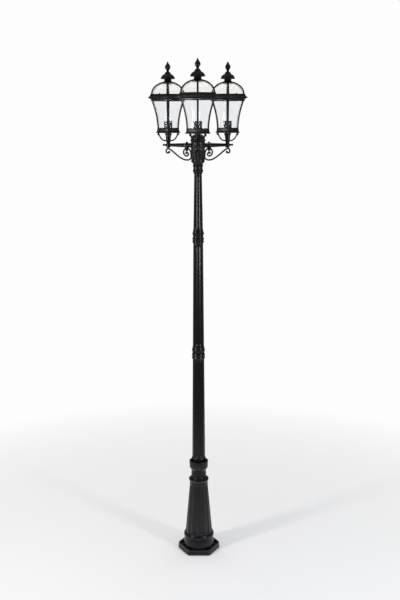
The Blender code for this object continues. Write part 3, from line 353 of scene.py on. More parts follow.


# The fourth argument of coated_metal sets the strength of the painted edge highlight.
CAST_COAT = coated_metal("cast_coat", (0.26, 0.36), 0.00010)
TUBE_COAT = coated_metal("tube_coat", (0.20, 0.28), 0.00005, 0.3)
FINE_COAT = coated_metal("fine_coat", (0.28, 0.38), 0.00010)
BODY_GLASS = clear_glass("lantern_glass", (0.925, 0.93, 0.94))
DOME_GLASS = clear_glass("dome_glass", (0.945, 0.94, 0.925))
PLASTIC = moulded_plastic("black_phenolic")
BRASS = tarnished_brass("old_brass")


# ---------------- outlines
def arc(center, radius, start, end, steps):
    """Points of an arc in a plane, from one angle to another in degrees."""
    points = []
    for i in range(steps + 1):
        angle = math.radians(start + (end - start) * i / steps)
        points.append((center[0] + radius * math.cos(angle), center[1] + radius * math.sin(angle)))
    return points


def spiral(center, start_radius, end_radius, start, end, steps):
    points = []
    for i in range(steps + 1):
        share = i / steps
        radius = start_radius + (end_radius - start_radius) * share
        angle = math.radians(start + (end - start) * share)
        points.append((center[0] + radius * math.cos(angle), center[1] + radius * math.sin(angle)))
    return points


def bezier(a, b, c, d, steps):
    """Points of a cubic curve in a plane, without its first point."""
    points = []
    for i in range(1, steps + 1):
        t = i / steps
        s = 1.0 - t
        weights = (s ** 3, 3.0 * s * s * t, 3.0 * s * t * t, t ** 3)
        points.append(tuple(sum(w * p[k] for w, p in zip(weights, (a, b, c, d))) for k in (0, 1)))
    return points


def eased(points, steps=6):
    """A smooth curve through every point (Catmull-Rom)."""
    ends = [points[0]] + list(points) + [points[-1]]
    curve = [points[0]]
    for before, a, b, after in zip(ends, ends[1:], ends[2:], ends[3:]):
        for i in range(1, steps + 1):
            t = i / steps
            weights = (-t + 2 * t * t - t ** 3, 2 - 5 * t * t + 3 * t ** 3,
                t + 4 * t * t - 3 * t ** 3, t ** 3 - t * t)
            curve.append(tuple(0.5 * sum(w * p[k] for w, p in zip(weights, (before, a, b, after)))
                for k in (0, 1)))
    return curve


# ---------------- rings of points
def circle(radius, z, sides=ROUND):
    turns = [2.0 * math.pi * i / sides for i in range(sides)]
    return [Vector((radius * math.cos(a), radius * math.sin(a), z)) for a in turns]


def hexagon(radius, z, corner=0.0015, steps=4):
    """A level hexagon with a corner on +X, each corner rounded over this length of its sides."""
    points = []
    for k in range(6):
        angle = math.radians(60.0 * k)
        tip = Vector((radius * math.cos(angle), radius * math.sin(angle), z))
        before, after = (
            tip + corner * Vector((math.cos(angle + turn), math.sin(angle + turn), 0.0))
            for turn in (-2.0 * math.pi / 3.0, 2.0 * math.pi / 3.0)
        )
        for i in range(steps + 1):
            t = i / steps
            points.append((1 - t) ** 2 * before + 2 * t * (1 - t) * tip + t * t * after)
    return points


def scoop(angle, z, flutes, low, high, run):
    """Depth of a flute, 0 to 1, with rounded ends that take up this much of its length."""
    pitch = 360.0 / flutes
    offset = (math.degrees(angle) - FIRST_RIDGE) % pitch - 0.5 * pitch
    across = offset / (0.5 * pitch * FLUTE_WIDTH)
    beyond = max(0.0, (low + run - z) / run, (z - high + run) / run)
    return math.sqrt(max(0.0, 1.0 - across ** 2 - beyond ** 2))


def fluted_ring(radius, z, flutes, depth, low, high, run):
    points = circle(radius, z, 20 * flutes)
    for i, point in enumerate(points):
        angle = 2.0 * math.pi * i / len(points)
        point.xy *= 1.0 - depth * scoop(angle, z, flutes, low, high, run) / radius
    return points


def flute_levels(low, high, run):
    """Levels close together at a flute's two rounded ends."""
    ends = [run * (1.0 - math.cos(math.radians(a))) for a in (0, 8, 18, 30, 42, 54, 66, 78, 90)]
    return [low + e for e in ends] + [high - e for e in reversed(ends)]


# ---------------- meshes
def loft(rings, looped=False):
    """A closed mesh through rings of equal length: looped end to start, or capped at both ends."""
    shape = bmesh.new()
    rows = [[shape.verts.new(point) for point in ring] for ring in rings]
    pairs = list(zip(rows, rows[1:]))
    if looped:
        pairs.append((rows[-1], rows[0]))
    for low, high in pairs:
        for i, corner in enumerate(low):
            j = (i + 1) % len(low)
            shape.faces.new((corner, low[j], high[j], high[i]))
    if not looped:
        shape.faces.new(list(reversed(rows[0])))
        shape.faces.new(rows[-1])
    bmesh.ops.recalc_face_normals(shape, faces=shape.faces)
    mesh = bpy.data.meshes.new("loft")
    shape.to_mesh(mesh)
    shape.free()
    return mesh


def lathe(outline, sides=ROUND, looped=True):
    return loft([circle(r, z, sides) for r, z in outline], looped)


def prism(corners, low, high):
    """An upright solid on a flat outline."""
    return loft([[Vector((x, y, z)) for x, y in corners] for z in (low, high)])


def sweep(path, radii, sides=BAR_SIDES, outline=None):
    """A bar along a path of (u, z) in the upright plane through X. It is round, or has this
    outline as (sideways, outwards), where outwards is square to the path, to its left."""
    rings = []
    for i, (u, z) in enumerate(path):
        before = path[max(i - 1, 0)]
        after = path[min(i + 1, len(path) - 1)]
        along = Vector((after[0] - before[0], 0.0, after[1] - before[1])).normalized()
        left = Vector((-along.z, 0.0, along.x))
        section = outline
        if outline is None:
            turns = [2.0 * math.pi * k / sides for k in range(sides)]
            section = [(radii[i] * math.cos(a), radii[i] * math.sin(a)) for a in turns]
        rings.append([Vector((u, 0.0, z)) + Vector((0.0, s, 0.0)) + o * left for s, o in section])
    return loft(rings)


def moved(mesh, x=0.0, y=0.0, turn=0.0):
    """A copy moved level, then turned about the post's axis by degrees."""
    copy = mesh.copy()
    copy.transform(Matrix.Rotation(math.radians(turn), 4, "Z") @ Matrix.Translation((x, y, 0.0)))
    return copy


def around(mesh, angles):
    """Copies of a mesh turned about Z, in one mesh."""
    shape = bmesh.new()
    for angle in angles:
        shape.from_mesh(moved(mesh, turn=angle))
    whole = bpy.data.meshes.new("around")
    shape.to_mesh(whole)
    shape.free()
    return whole


def cut_and_joined(mesh, steps):
    """The mesh after Boolean steps, each an operation and a second mesh."""
    body = bpy.data.objects.new("body", mesh)
    bpy.context.collection.objects.link(body)
    helpers = [body]
    for operation, other in steps:
        helper = bpy.data.objects.new("helper", other)
        bpy.context.collection.objects.link(helper)
        helpers.append(helper)
        step = body.modifiers.new(operation.lower(), "BOOLEAN")
        step.operation = operation
        step.object = helper
        step.solver = "EXACT"
    graph = bpy.context.evaluated_depsgraph_get()
    result = bpy.data.meshes.new_from_object(body.evaluated_get(graph), depsgraph=graph)
    for helper in helpers:
        bpy.data.objects.remove(helper, do_unlink=True)
    return result


# ---------------- pieces
SHARP_ANGLE = math.radians(32.0)


def piece(name, mesh, material, slot, body, *nodes, edge=0.0004):
    """A visible piece: its mesh with softened edges and one material, riding on a body."""
    mesh.name = name
    made = bpy.data.objects.new(name, mesh)
    bpy.context.collection.objects.link(made)
    mesh.materials.clear()
    mesh.materials.append(material)
    mesh.shade_smooth()
    mesh.set_sharp_from_angle(angle=SHARP_ANGLE)
    if edge:
        bevel = made.modifiers.new("soft_edges", "BEVEL")
        bevel.width = edge
        bevel.segments = 2
        bevel.limit_method = "ANGLE"
        bevel.angle_limit = SHARP_ANGLE
        bevel.use_clamp_overlap = True
        bevel.harden_normals = True
    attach(made, body)
    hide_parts(*nodes)
    return made


def coat_piece(name, mesh, body, *nodes, material=None, edge=0.0004):
    return piece(name, mesh, material or CAST_COAT, "black_coat", body, *nodes, edge=edge)


# ---------------- the base
def plate_outline():
    """The foot plate's edge in two tiers, as (corner radius, level), from the ground up."""
    tier = 0.45 * PLATE_HEIGHT
    inner = PLATE_RADIUS - PLATE_STEP
    outline = [(PLATE_RADIUS - 0.001, 0.0), (PLATE_RADIUS, 0.0012), (PLATE_RADIUS, tier - 0.001)]
    outline += [(PLATE_RADIUS - 0.0006, tier), (inner, tier + PLATE_STEP)]
    outline += arc((inner - 0.005, PLATE_HEIGHT - 0.005), 0.005, 0.0, 90.0, 5)
    return outline


def base_plate():
    rings = [hexagon(r, z, PLATE_CORNER_CUT) for r, z in plate_outline()]
    deep = -PLATE_HEIGHT
    above = 2.0 * PLATE_HEIGHT
    flat = (PLATE_RADIUS - PLATE_STEP) * HEX - PLATE_RIM
    chord = math.degrees(math.atan2(RECESS_HALF_LENGTH, 0.5 * (RECESS_HALF_LENGTH ** 2
        / RECESS_RISE - RECESS_RISE)))
    bow = RECESS_HALF_LENGTH / math.sin(math.radians(chord))
    lens = arc((flat - RECESS_RISE + bow, 0.0), bow, 180.0 - chord, 180.0 + chord, 16)
    recess = prism(lens, PLATE_HEIGHT - RECESS_DEPTH, above)
    pocket_sides = ((0.1065, 0.0), (0.0985, 0.0135), (0.0885, 0.0215), (0.0870, 0.0))
    kite = list(pocket_sides) + [(x, -y) for x, y in pocket_sides[2:0:-1]]
    pocket = prism(kite, PLATE_HEIGHT - POCKET_DEPTH, above)
    anchor = moved(lathe([(ANCHOR_RADIUS, deep), (ANCHOR_RADIUS, above)], 32, False), ANCHOR_CIRCLE)
    cable = lathe([(CABLE_HOLE_RADIUS, deep), (CABLE_HOLE_RADIUS, above)], 32, False)
    chamber = lathe([(DRUM_TOP_RADIUS - CONE_WALL, BASE_FLOOR),
        (DRUM_TOP_RADIUS - CONE_WALL, above)], ROUND, False)
    return cut_and_joined(loft(rings), [
        ("DIFFERENCE", chamber),
        ("DIFFERENCE", around(recess, range(30, 390, 60))),
        ("DIFFERENCE", around(pocket, range(0, 360, 60))),
        ("DIFFERENCE", around(anchor, range(0, 360, 120))),
        ("DIFFERENCE", around(moved(cable, CABLE_HOLE_CIRCLE), ARMS.values())),
    ])


def base_shaft():
    """Drum, ring, fluted cone, flared ring and neck, hollow inside."""
    foot, top = CONE_RADII
    slope = (foot - top) / (CONE_TOP - CONE_FOOT)
    low, high, run = CONE_FOOT + 0.004, CONE_TOP - 0.003, 0.015
    rows = [(DRUM_RADIUS + 0.0010, PLATE_HEIGHT - 0.002), (DRUM_RADIUS + 0.0008, PLATE_HEIGHT + 0.001)]
    rows += [(DRUM_RADIUS, PLATE_HEIGHT + 0.004), (DRUM_TOP_RADIUS + 0.0012, DRUM_TOP - 0.005)]
    ring_height = CONE_FOOT - DRUM_TOP
    bulge = eased([
        (DRUM_TOP_RADIUS - 0.0005, DRUM_TOP),
        (DRUM_RING_RADIUS - 0.0022, DRUM_TOP + 0.12 * ring_height),
        (DRUM_RING_RADIUS, DRUM_TOP + 0.42 * ring_height),
        (DRUM_RING_RADIUS - 0.0032, DRUM_TOP + 0.74 * ring_height),
        (foot + 0.0022, DRUM_TOP + 0.93 * ring_height), (foot, CONE_FOOT)], 5)
    rows += bulge
    rows += [(foot - slope * (z - CONE_FOOT), z) for z in flute_levels(low, high, run)]
    rows += [(top + 0.0002, CONE_TOP - 0.0008), (top + 0.0014, CONE_TOP + 0.0004)]
    rows += [(top + 0.0018, CONE_TOP + 0.002), (top + 0.0018, FLARE_FOOT - 0.0025)]
    rows += eased([(top + 0.0012, FLARE_FOOT - 0.001), (top + 0.0016, FLARE_FOOT + 0.10 * FLARE_HEIGHT),
        (FLARE_RADIUS - 0.0014, FLARE_FOOT + 0.30 * FLARE_HEIGHT),
        (FLARE_RADIUS, FLARE_FOOT + 0.44 * FLARE_HEIGHT),
        (FLARE_RADIUS - 0.0008, FLARE_FOOT + 0.57 * FLARE_HEIGHT),
        (NECK_RADIUS + 0.0060, FLARE_FOOT + 0.78 * FLARE_HEIGHT),
        (NECK_RADIUS + 0.0012, FLARE_FOOT + 0.97 * FLARE_HEIGHT),
        (NECK_RADIUS, FLARE_FOOT + FLARE_HEIGHT + 0.005)], 5)
    rows += [(NECK_RADIUS - 0.001, BASE_TOP)]
    socket = FOOT_SPIGOT_RADIUS + GAP
    rows += [(socket, BASE_TOP), (socket, BASE_TOP - 0.060), (top - CONE_WALL, CONE_TOP),
        (foot - CONE_WALL, CONE_FOOT), (DRUM_TOP_RADIUS - CONE_WALL, DRUM_TOP),
        (DRUM_TOP_RADIUS - CONE_WALL, PLATE_HEIGHT - 0.002)]
    rings = []
    outer = True
    for r, z in rows:
        outer = outer and r > socket
        depth = BASE_FLUTE_DEPTH if outer and low - 1e-6 <= z <= high + 1e-6 else 0.0
        rings.append(fluted_ring(r, z, BASE_FLUTES, depth, low, high, run))
    return loft(rings, looped=True)


def lock_ring():
    foot, top = span("lock_ring")
    outer, bore = LOCK_RING_RADIUS, FOOT_SPIGOT_RADIUS + GAP
    outline = [(bore, foot), (NECK_RADIUS - 0.0005, foot)]
    outline += eased([(NECK_RADIUS + 0.0006, foot + 0.0015), (NECK_RADIUS + 0.0030, foot + 0.0060),
        (outer - 0.0045, foot + 0.0105), (outer - 0.0026, foot + 0.0150)], 4)
    outline += [(outer - 0.0012, foot + 0.0175), (outer - 0.0008, foot + 0.0210)]
    outline += [(outer - 0.0003, top - 0.0160)]
    outline += arc((outer - 0.0030, top - 0.0045), 0.0030, 0.0, 65.0, 5)
    outline += [(outer - 0.0045, top - 0.0004), (outer - 0.0053, top)]
    outline += arc((LOCK_CUP_RADIUS + 0.0010, top - 0.0010), 0.0010, 90.0, 180.0, 3)
    outline += [(LOCK_CUP_RADIUS, top - LOCK_CUP_DEPTH), (bore, top - LOCK_CUP_DEPTH)]
    return lathe(outline)


# ---------------- poles and collars
def pole(node, foot, head, radii, foot_spigot, head_spigot, bore, plain_foot=0.006, bead=None):
    """One fluted tube with its two spigots. A bead is (radius, level of its middle)."""
    bottom, top = span(node)
    taper = (radii[1] - radii[0]) / (head - foot)

    def side(z):
        return (radii[0] + taper * (z - foot), z)

    low, high, run = foot + plain_foot, head - 0.005, 0.014
    rows = [(foot_spigot, bottom), (foot_spigot, foot), side(foot)]
    if bead:
        radius, middle = bead
        base = side(middle - 0.0075)
        rows += [base] + eased([(base[0] + 0.0004, base[1] + 0.0004), (radius - 0.0008, middle - 0.0035),
            (radius, middle), (radius - 0.0008, middle + 0.0035),
            (base[0] + 0.0004, middle + 0.0071)], 4)
        rows += [side(middle + 0.0075)]
    rows += [side(z) for z in flute_levels(low, high, run)]
    rows += [side(head), (head_spigot, head), (head_spigot, top), (bore, top), (bore, bottom)]
    rings = [fluted_ring(r, z, POLE_FLUTES, POLE_FLUTE_DEPTH if low <= z <= high and r > bore else 0.0,
        low, high, run) for r, z in rows]
    return loft(rings, looped=True)


def joint_collar(node, radii):
    """Two beads below a waist, two above it, and a socket right through."""
    bead, valley, socket = radii
    foot, top = span(node)
    small = bead - COLLAR_TOP_BEAD_DROP
    shares = [(0.0, valley - 0.0006), (0.045, valley + 0.0004), (0.085, bead - 0.0006), (0.13, bead)]
    shares += [(0.18, bead - 0.0008), (0.225, valley + 0.0010), (0.25, valley + 0.0006)]
    shares += [(0.30, bead - 0.0007), (0.35, bead), (0.40, bead - 0.0010), (0.45, valley + 0.0003)]
    shares += [(0.53, valley - 0.0002), (0.62, valley + 0.0010), (0.69, bead - 0.0003)]
    shares += [(0.735, bead + 0.0001), (0.78, bead - 0.0012), (0.82, valley), (0.845, valley + 0.0002)]
    shares += [(0.88, small - 0.0005), (0.915, small), (0.95, small - 0.0010), (1.0, valley - 0.0016)]
    outline = eased([(radius, foot + share * (top - foot)) for share, radius in shares], 4)
    return lathe([(socket, foot)] + outline + [(socket, top)])


def capital_neck():
    foot, spigot_top = span("capital_neck")
    top = spigot_top - NECK_SPIGOT_LENGTH
    height = top - foot
    ring, valley = NECK_RING_RADIUS, NECK_VALLEY_RADIUS
    shares = [(0.0, valley - 0.0022), (0.09, valley - 0.0006), (0.17, valley + 0.0004)]
    shares += [(0.22, ring - 0.0008), (0.28, ring), (0.34, ring - 0.0008), (0.39, valley + 0.0004)]
    shares += [(0.47, valley), (0.55, valley - 0.0004), (0.62, valley), (0.67, ring - 0.0010)]
    shares += [(0.73, ring - 0.0002), (0.79, ring - 0.0010), (0.84, valley + 0.0008)]
    shares += [(0.90, valley + 0.0010), (1.0, valley + 0.0040)]
    outline = eased([(radius, foot + share * height) for share, radius in shares], 4)
    outline += [(NECK_SPIGOT_RADIUS, top), (NECK_SPIGOT_RADIUS, spigot_top)]
    return lathe([(NECK_SOCKET_RADIUS, foot)] + outline + [(NECK_SOCKET_RADIUS, spigot_top)])


# ---------------- capital
def leaf(across, along):
    """Relief of one lobed leaf, 0 to 1: across runs -1 to 1, along 0 at its foot to 1 at its tip."""
    if not 0.0 < along < 1.0:
        return 0.0
    lobes = 1.0 + 0.16 * math.cos(7.0 * math.pi * along)
    half = 0.92 * math.sin(math.pi * (0.10 + 0.86 * along)) ** 0.6 * lobes
    inside = 1.0 - (across / half) ** 2
    if inside <= 0.0:
        return 0.0
    midrib = 0.45 * math.exp(-((across / 0.10) ** 2))
    veins = 0.22 * math.cos(2.0 * math.pi * (4.5 * along - 1.6 * abs(across)))
    curl = 0.35 * math.exp(-(((along - 0.86) / 0.10) ** 2))
    return math.sqrt(inside) * (0.62 + veins + curl) - midrib * inside


def leaf_relief(angle, share):
    """Two tiers of leaves round the sleeve, the upper tier showing between the lower."""
    turn = math.degrees(angle) / 360.0 * SLEEVE_LEAVES
    tiers = []
    for shift, low, high in ((0.0, 0.06, 0.60), (0.5, 0.34, 0.97)):
        across = 2.0 * ((turn + shift) % 1.0) - 1.0
        tiers.append(leaf(across, (share - low) / (high - low)))
    return max(tiers[0] + 0.15 * (tiers[0] > 0.0), tiers[1], 0.0)


def capital_sleeve():
    foot, top = SLEEVE_FOOT, SLEEVE_TOP
    ground = SLEEVE_RADIUS - 0.0016
    bore = NECK_SPIGOT_RADIUS + GAP
    floor = foot + NECK_SPIGOT_LENGTH
    sides = 24 * SLEEVE_LEAVES
    levels = 90
    rings = [circle(bore, foot, sides), circle(SLEEVE_RADIUS - 0.0065, foot, sides)]
    rings += [circle(r, z, sides) for r, z in eased([(SLEEVE_RADIUS - 0.0060, foot + 0.0006),
        (SLEEVE_RADIUS - 0.0022, foot + 0.0045), (SLEEVE_RADIUS, foot + 0.0065),
        (SLEEVE_RADIUS - 0.0002, foot + 0.0085), (ground, foot + 0.0100)], 3)]
    for i in range(levels + 1):
        z = foot + 0.0105 + (top - foot - 0.0170) * i / levels
        points = circle(ground, z, sides)
        for k, point in enumerate(points):
            point.xy *= 1.0 + LEAF_RELIEF * leaf_relief(2.0 * math.pi * k / sides, i / levels) / ground
        rings.append(points)
    rings += [circle(r, z, sides) for r, z in eased([(ground, top - 0.0060),
        (SLEEVE_RADIUS + 0.0002, top - 0.0048), (SLEEVE_RADIUS + 0.0002, top - 0.0016),
        (SLEEVE_RADIUS - 0.0006, top)], 3)]
    inner = SLEEVE_RADIUS - SLEEVE_WALL
    rings += [circle(inner, top, sides), circle(inner, floor, sides), circle(bore, floor - 0.004, sides)]
    holes = lathe([(ARM_SPIGOT_RADIUS + GAP, 0.5 * SLEEVE_RADIUS),
        (ARM_SPIGOT_RADIUS + GAP, 1.5 * SLEEVE_RADIUS)], 32, False)
    holes.transform(Matrix.Translation((0.0, 0.0, ARM_LEVEL)) @ Matrix.Rotation(math.pi / 2.0, 4, "Y"))
    return cut_and_joined(loft(rings, True), [("DIFFERENCE", around(holes, ARMS.values()))])


def capital_cap():
    foot = SLEEVE_TOP + GAP
    top = span("capital_cap")[1]
    edge = CAP_RADIUS
    plug = SLEEVE_RADIUS - SLEEVE_WALL - GAP
    outline = [(plug, foot - 0.006), (plug, foot), (edge - 0.0040, foot), (edge - 0.0016, foot + 0.0012)]
    outline += eased([(edge - 0.0004, foot + 0.0030), (edge, foot + 0.0055), (edge - 0.0010, foot + 0.0090),
        (edge - 0.0040, foot + 0.0120), (edge - 0.0046, foot + 0.0150),
        (edge - 0.0040, foot + 0.0185), (edge - 0.0062, foot + 0.0240),
        (0.72 * edge, foot + 0.0305), (0.50 * edge, foot + 0.0352),
        (0.28 * edge, foot + 0.0388), (0.0060, foot + 0.0420), (0.0062, foot + 0.0445),
        (0.0080, foot + 0.0480), (0.0066, foot + 0.0520), (0.0034, foot + 0.0548),
        (0.0010, top)], 5)
    return lathe(outline, looped=False)


# ---------------- one arm, along +X
def arm_radius(reach):
    root = SLEEVE_RADIUS + GAP
    return ARM_ROOT_RADIUS + (ARM_SEAT_RADIUS - ARM_ROOT_RADIUS) * (reach - root) / (REACH - root)


def arm():
    root = SLEEVE_RADIUS + GAP
    tip = REACH + ARM_OVERHANG
    ball = 1.28 * ARM_TIP_RADIUS
    stations = [(root - SLEEVE_WALL - 0.004, ARM_SPIGOT_RADIUS), (root - GAP, ARM_SPIGOT_RADIUS)]
    stations += [(root, ARM_ROOT_RADIUS - 0.0006), (root + 0.0006, ARM_ROOT_RADIUS)]
    shank = [root + 0.010 + (REACH - root - 0.010) * i / 8 for i in range(9)]
    stations += [(u, arm_radius(u)) for u in shank]
    stations += eased([(REACH + 0.012, 0.0066), (tip - 0.0120, ARM_TIP_RADIUS + 0.0002),
        (tip - 0.0090, 0.88 * ARM_TIP_RADIUS)], 4)
    stations += [(tip - ball + x, r) for r, x in arc((0.0, 0.0), ball, -38.0, 82.0, 8)]
    bar = sweep([(u, ARM_LEVEL) for u, _ in stations], [r for _, r in stations], 32)
    low, high = ARM_LEVEL - ARM_BOSS_DROP, ARM_LEVEL + ARM_BOSS_HEIGHT
    outline = [(WIRE_BORE, low), (ARM_BOSS_RADIUS - 0.0014, low), (ARM_BOSS_RADIUS, low + 0.0014)]
    outline += [(ARM_BOSS_RADIUS, high - 0.0010), (ARM_BOSS_RADIUS - 0.0010, high), (WIRE_BORE, high)]
    boss = moved(lathe(outline, SMALL_ROUND), REACH)
    return cut_and_joined(bar, [("UNION", boss)])


def egg(width, up, down, point, sides):
    """Points round an arm and the bar below it, as (y, z), drawn out to a soft point at each end."""
    points = []
    for i in range(sides):
        angle = 2.0 * math.pi * i / sides
        y, z = math.cos(angle), math.sin(angle)
        height = z * (up if z > 0.0 else down)
        height += math.copysign(point * math.exp(-((y / 0.22) ** 2)), z) if abs(z) > 0.2 else 0.0
        points.append((width * y, height))
    return points


def arm_collar():
    sides = 64
    start = SLEEVE_RADIUS + ARM_COLLAR_GAP
    inside = arm_radius(start) + 1.5 * GAP
    reach = 0.5 * ARM_COLLAR_WIDTH + 2.0 * SCROLL_BAR_RADIUS
    sag = INNER_CURL_RADIUS - math.sqrt(INNER_CURL_RADIUS ** 2 - reach ** 2)
    below = inside + 2.0 * SCROLL_BAR_RADIUS + sag
    inner = egg(inside, inside, below, 0.0, sides)
    rings = []
    profile = ((0.0, 0.72), (0.10, 0.92), (0.22, 1.0), (0.42, 0.80), (0.58, 0.80), (0.78, 1.0),
        (0.90, 0.92), (1.0, 0.72))
    for share, height in profile:
        wall = height * ARM_COLLAR_WALL
        outer = egg(inside + wall, inside + wall, below + wall, height ** 2 * ARM_COLLAR_POINT, sides)
        u = start + share * ARM_COLLAR_WIDTH
        rings.append([Vector((u, y, ARM_LEVEL + z)) for y, z in outer])
    for u in (start + ARM_COLLAR_WIDTH, start):
        rings.append([Vector((u, y, ARM_LEVEL + z)) for y, z in inner])
    return loft(rings, looped=True)


def scroll_path():
    """The bar's centreline: outer curl, long curve to the sleeve, and inner curl."""
    bar = SCROLL_BAR_RADIUS
    crown = ARM_LEVEL - ARM_BOSS_DROP - GAP - bar
    curl = (REACH + 0.003, crown - OUTER_CURL_RADIUS)
    low = (SLEEVE_RADIUS + 0.031, ARM_LEVEL - SCROLL_DROP)
    wall = SLEEVE_RADIUS + GAP + bar
    under_arm = ARM_LEVEL - arm_radius(SLEEVE_RADIUS + ARM_COLLAR_GAP) - GAP - bar
    inner_u = SLEEVE_RADIUS + ARM_COLLAR_GAP + 0.5 * ARM_COLLAR_WIDTH
    inner_curl = (inner_u, under_arm - INNER_CURL_RADIUS)
    end_curl = (inner_u, inner_curl[1] - INNER_CURL_RADIUS + INNER_CURL_END_RADIUS)
    path = spiral(curl, 0.62 * OUTER_CURL_RADIUS, OUTER_CURL_RADIUS, 215.0, 450.0, 30)
    long_bar = 0.30 * (curl[0] - low[0])
    path += bezier((curl[0], crown), (curl[0] - 0.7 * long_bar, crown),
        (low[0] + 1.3 * long_bar, low[1]), low, 26)
    path += bezier(low, (wall + 0.012, low[1]), (wall, low[1] + 0.006), (wall, low[1] + 0.018), 10)
    path += bezier((wall, low[1] + 0.018), (wall, under_arm - 0.015),
        (wall + 0.009, under_arm), (inner_u, under_arm), 14)
    path += spiral(inner_curl, INNER_CURL_RADIUS, INNER_CURL_RADIUS, 90.0, -90.0, 22)[1:]
    path += spiral(end_curl, INNER_CURL_END_RADIUS, 0.55 * INNER_CURL_END_RADIUS,
        -90.0, -300.0, 22)[1:]
    return path


def scroll_bracket():
    """The bar, with a ball worked on each end."""
    path = scroll_path()
    bar = sweep(path, [SCROLL_BAR_RADIUS] * len(path))
    ball_outline = arc((0.0, 0.0), SCROLL_BALL_RADIUS, -86.0, 86.0, 16)
    steps = []
    for u, z in (path[0], path[-1]):
        ball = moved(lathe([(r, z + h) for r, h in ball_outline], 32, False), u)
        steps.append(("UNION", ball))
    return cut_and_joined(bar, steps)


# ---------------- one lantern, about its axis
def lantern_stem():
    foot, nipple_top = span("lantern_stem_front")
    top = nipple_top - NIPPLE_LENGTH
    outline = [(WIRE_BORE, foot), (ARM_BOSS_RADIUS - 0.0006, foot), (ARM_BOSS_RADIUS, foot + 0.0006)]
    outline += [(ARM_BOSS_RADIUS, foot + 0.0042)]
    outline += eased([(ARM_BOSS_RADIUS - 0.0006, foot + 0.0052), (ARM_BOSS_RADIUS + 0.0006, foot + 0.0070),
        (STEM_RADIUS - 0.0004, foot + 0.0092), (STEM_RADIUS, foot + 0.0110)], 3)
    outline += [(STEM_RADIUS, foot + 0.0200)]
    outline += eased([(STEM_RADIUS, foot + 0.0220), (STEM_RADIUS - 0.0006, foot + 0.0245),
        (STEM_TOP_RADIUS - 0.0004, foot + 0.0275), (STEM_TOP_RADIUS, foot + 0.0300)], 3)
    outline += [(STEM_TOP_RADIUS, top - 0.0040), (STEM_TOP_RADIUS + 0.0012, top - 0.0030)]
    outline += [(STEM_TOP_RADIUS + 0.0012, top), (NIPPLE_RADIUS, top)]
    outline += [(NIPPLE_RADIUS, nipple_top), (WIRE_BORE, nipple_top)]
    return lathe(outline, SMALL_ROUND)


def lantern_braces():
    """Four curved wires from a ring on the stem out to knobs under the pan."""
    inner = STEM_RADIUS + GAP
    outer = inner + BRACE_RING_WALL
    low = STEM_FOOT + BRACE_RING_LEVEL
    high = low + BRACE_RING_HEIGHT
    outline = [(inner, low), (outer - 0.0010, low)]
    outline += arc((outer - 0.0016, 0.5 * (low + high)), 0.0024, -70.0, 70.0, 6)
    outline += [(outer - 0.0010, high), (inner, high)]
    ring = lathe(outline, SMALL_ROUND)
    knob = PAN_FOOT - GAP - BRACE_KNOB_RADIUS
    start = (outer - 0.001, 0.5 * (low + high))
    neck = (BRACE_SPREAD - 0.6 * BRACE_KNOB_RADIUS, knob - 0.002)
    path = [start] + bezier(start, (0.64 * BRACE_SPREAD, start[1]),
        (neck[0] - 0.004, neck[1] - 0.014), neck, 22)
    wire = sweep(path, [BRACE_WIRE_RADIUS] * len(path), 12)
    ball_outline = arc((0.0, knob), BRACE_KNOB_RADIUS, -86.0, 60.0, 14)
    ball_outline += [(0.62 * BRACE_KNOB_RADIUS, PAN_FOOT - GAP)]
    ball = moved(lathe(ball_outline, 32, False), BRACE_SPREAD)
    return cut_and_joined(ring, [
        ("UNION", around(wire, BRACE_ANGLES)),
        ("UNION", around(ball, BRACE_ANGLES)),
    ])


def lantern_pan():
    foot, top, edge = PAN_FOOT, PAN_TOP, PAN_RADIUS
    hole = (NIPPLE_RADIUS + GAP) / HEX
    outline = [(hole, foot), (edge - 0.0080, foot), (edge - 0.0020, foot + 0.0004)]
    outline += arc((edge - 0.0024, foot + 0.0028), 0.0024, -80.0, 70.0, 6)
    outline += eased([(edge - 0.0032, foot + 0.0056), (edge - 0.0050, foot + 0.0078),
        (edge - 0.0060, foot + 0.0110), (edge - 0.0064, top - 0.0024)], 4)
    outline += [(edge - 0.0070, top - 0.0006), (edge - 0.0076, top), (edge - 0.0130, top)]
    outline += [(edge - 0.0130, foot + PAN_FLOOR), (hole, foot + PAN_FLOOR)]
    return loft([hexagon(r, z) for r, z in outline], looped=True)


def body_radius(level):
    """Corner radius of the bell-shaped body at this level, over the outside of its ribs."""
    share = (level - BODY_FOOT) / (BODY_TOP - BODY_FOOT)
    return BODY_FOOT_RADIUS + (BODY_TOP_RADIUS - BODY_FOOT_RADIUS) * max(share, 0.0) ** BODY_FLARE


def body_levels(foot, top, steps=24):
    return [foot + (top - foot) * i / steps for i in range(steps + 1)]


def rib_section():
    """A bar with a flat back and a crowned face, as (sideways, outwards)."""
    half = 0.5 * RIB_WIDTH
    crown = [(half * math.cos(a), RIB_DEPTH * (0.62 + 0.38 * math.sin(a)))
        for a in (math.radians(15.0 * k) for k in range(1, 12))]
    return [(-half, 0.0), (half, 0.0), (half, 0.55 * RIB_DEPTH)] + crown + [(-half, 0.55 * RIB_DEPTH)]


def screw_reach():
    inner = body_radius(BODY_TOP) - RIB_DEPTH
    return 0.5 * (inner + BODY_TOP_RADIUS + 0.003) * HEX


def screw_holes(low, high):
    hole = lathe([(SCREW_RADIUS + GAP, low), (SCREW_RADIUS + GAP, high)], 16, False)
    return around(moved(hole, screw_reach()), (90.0, 270.0))


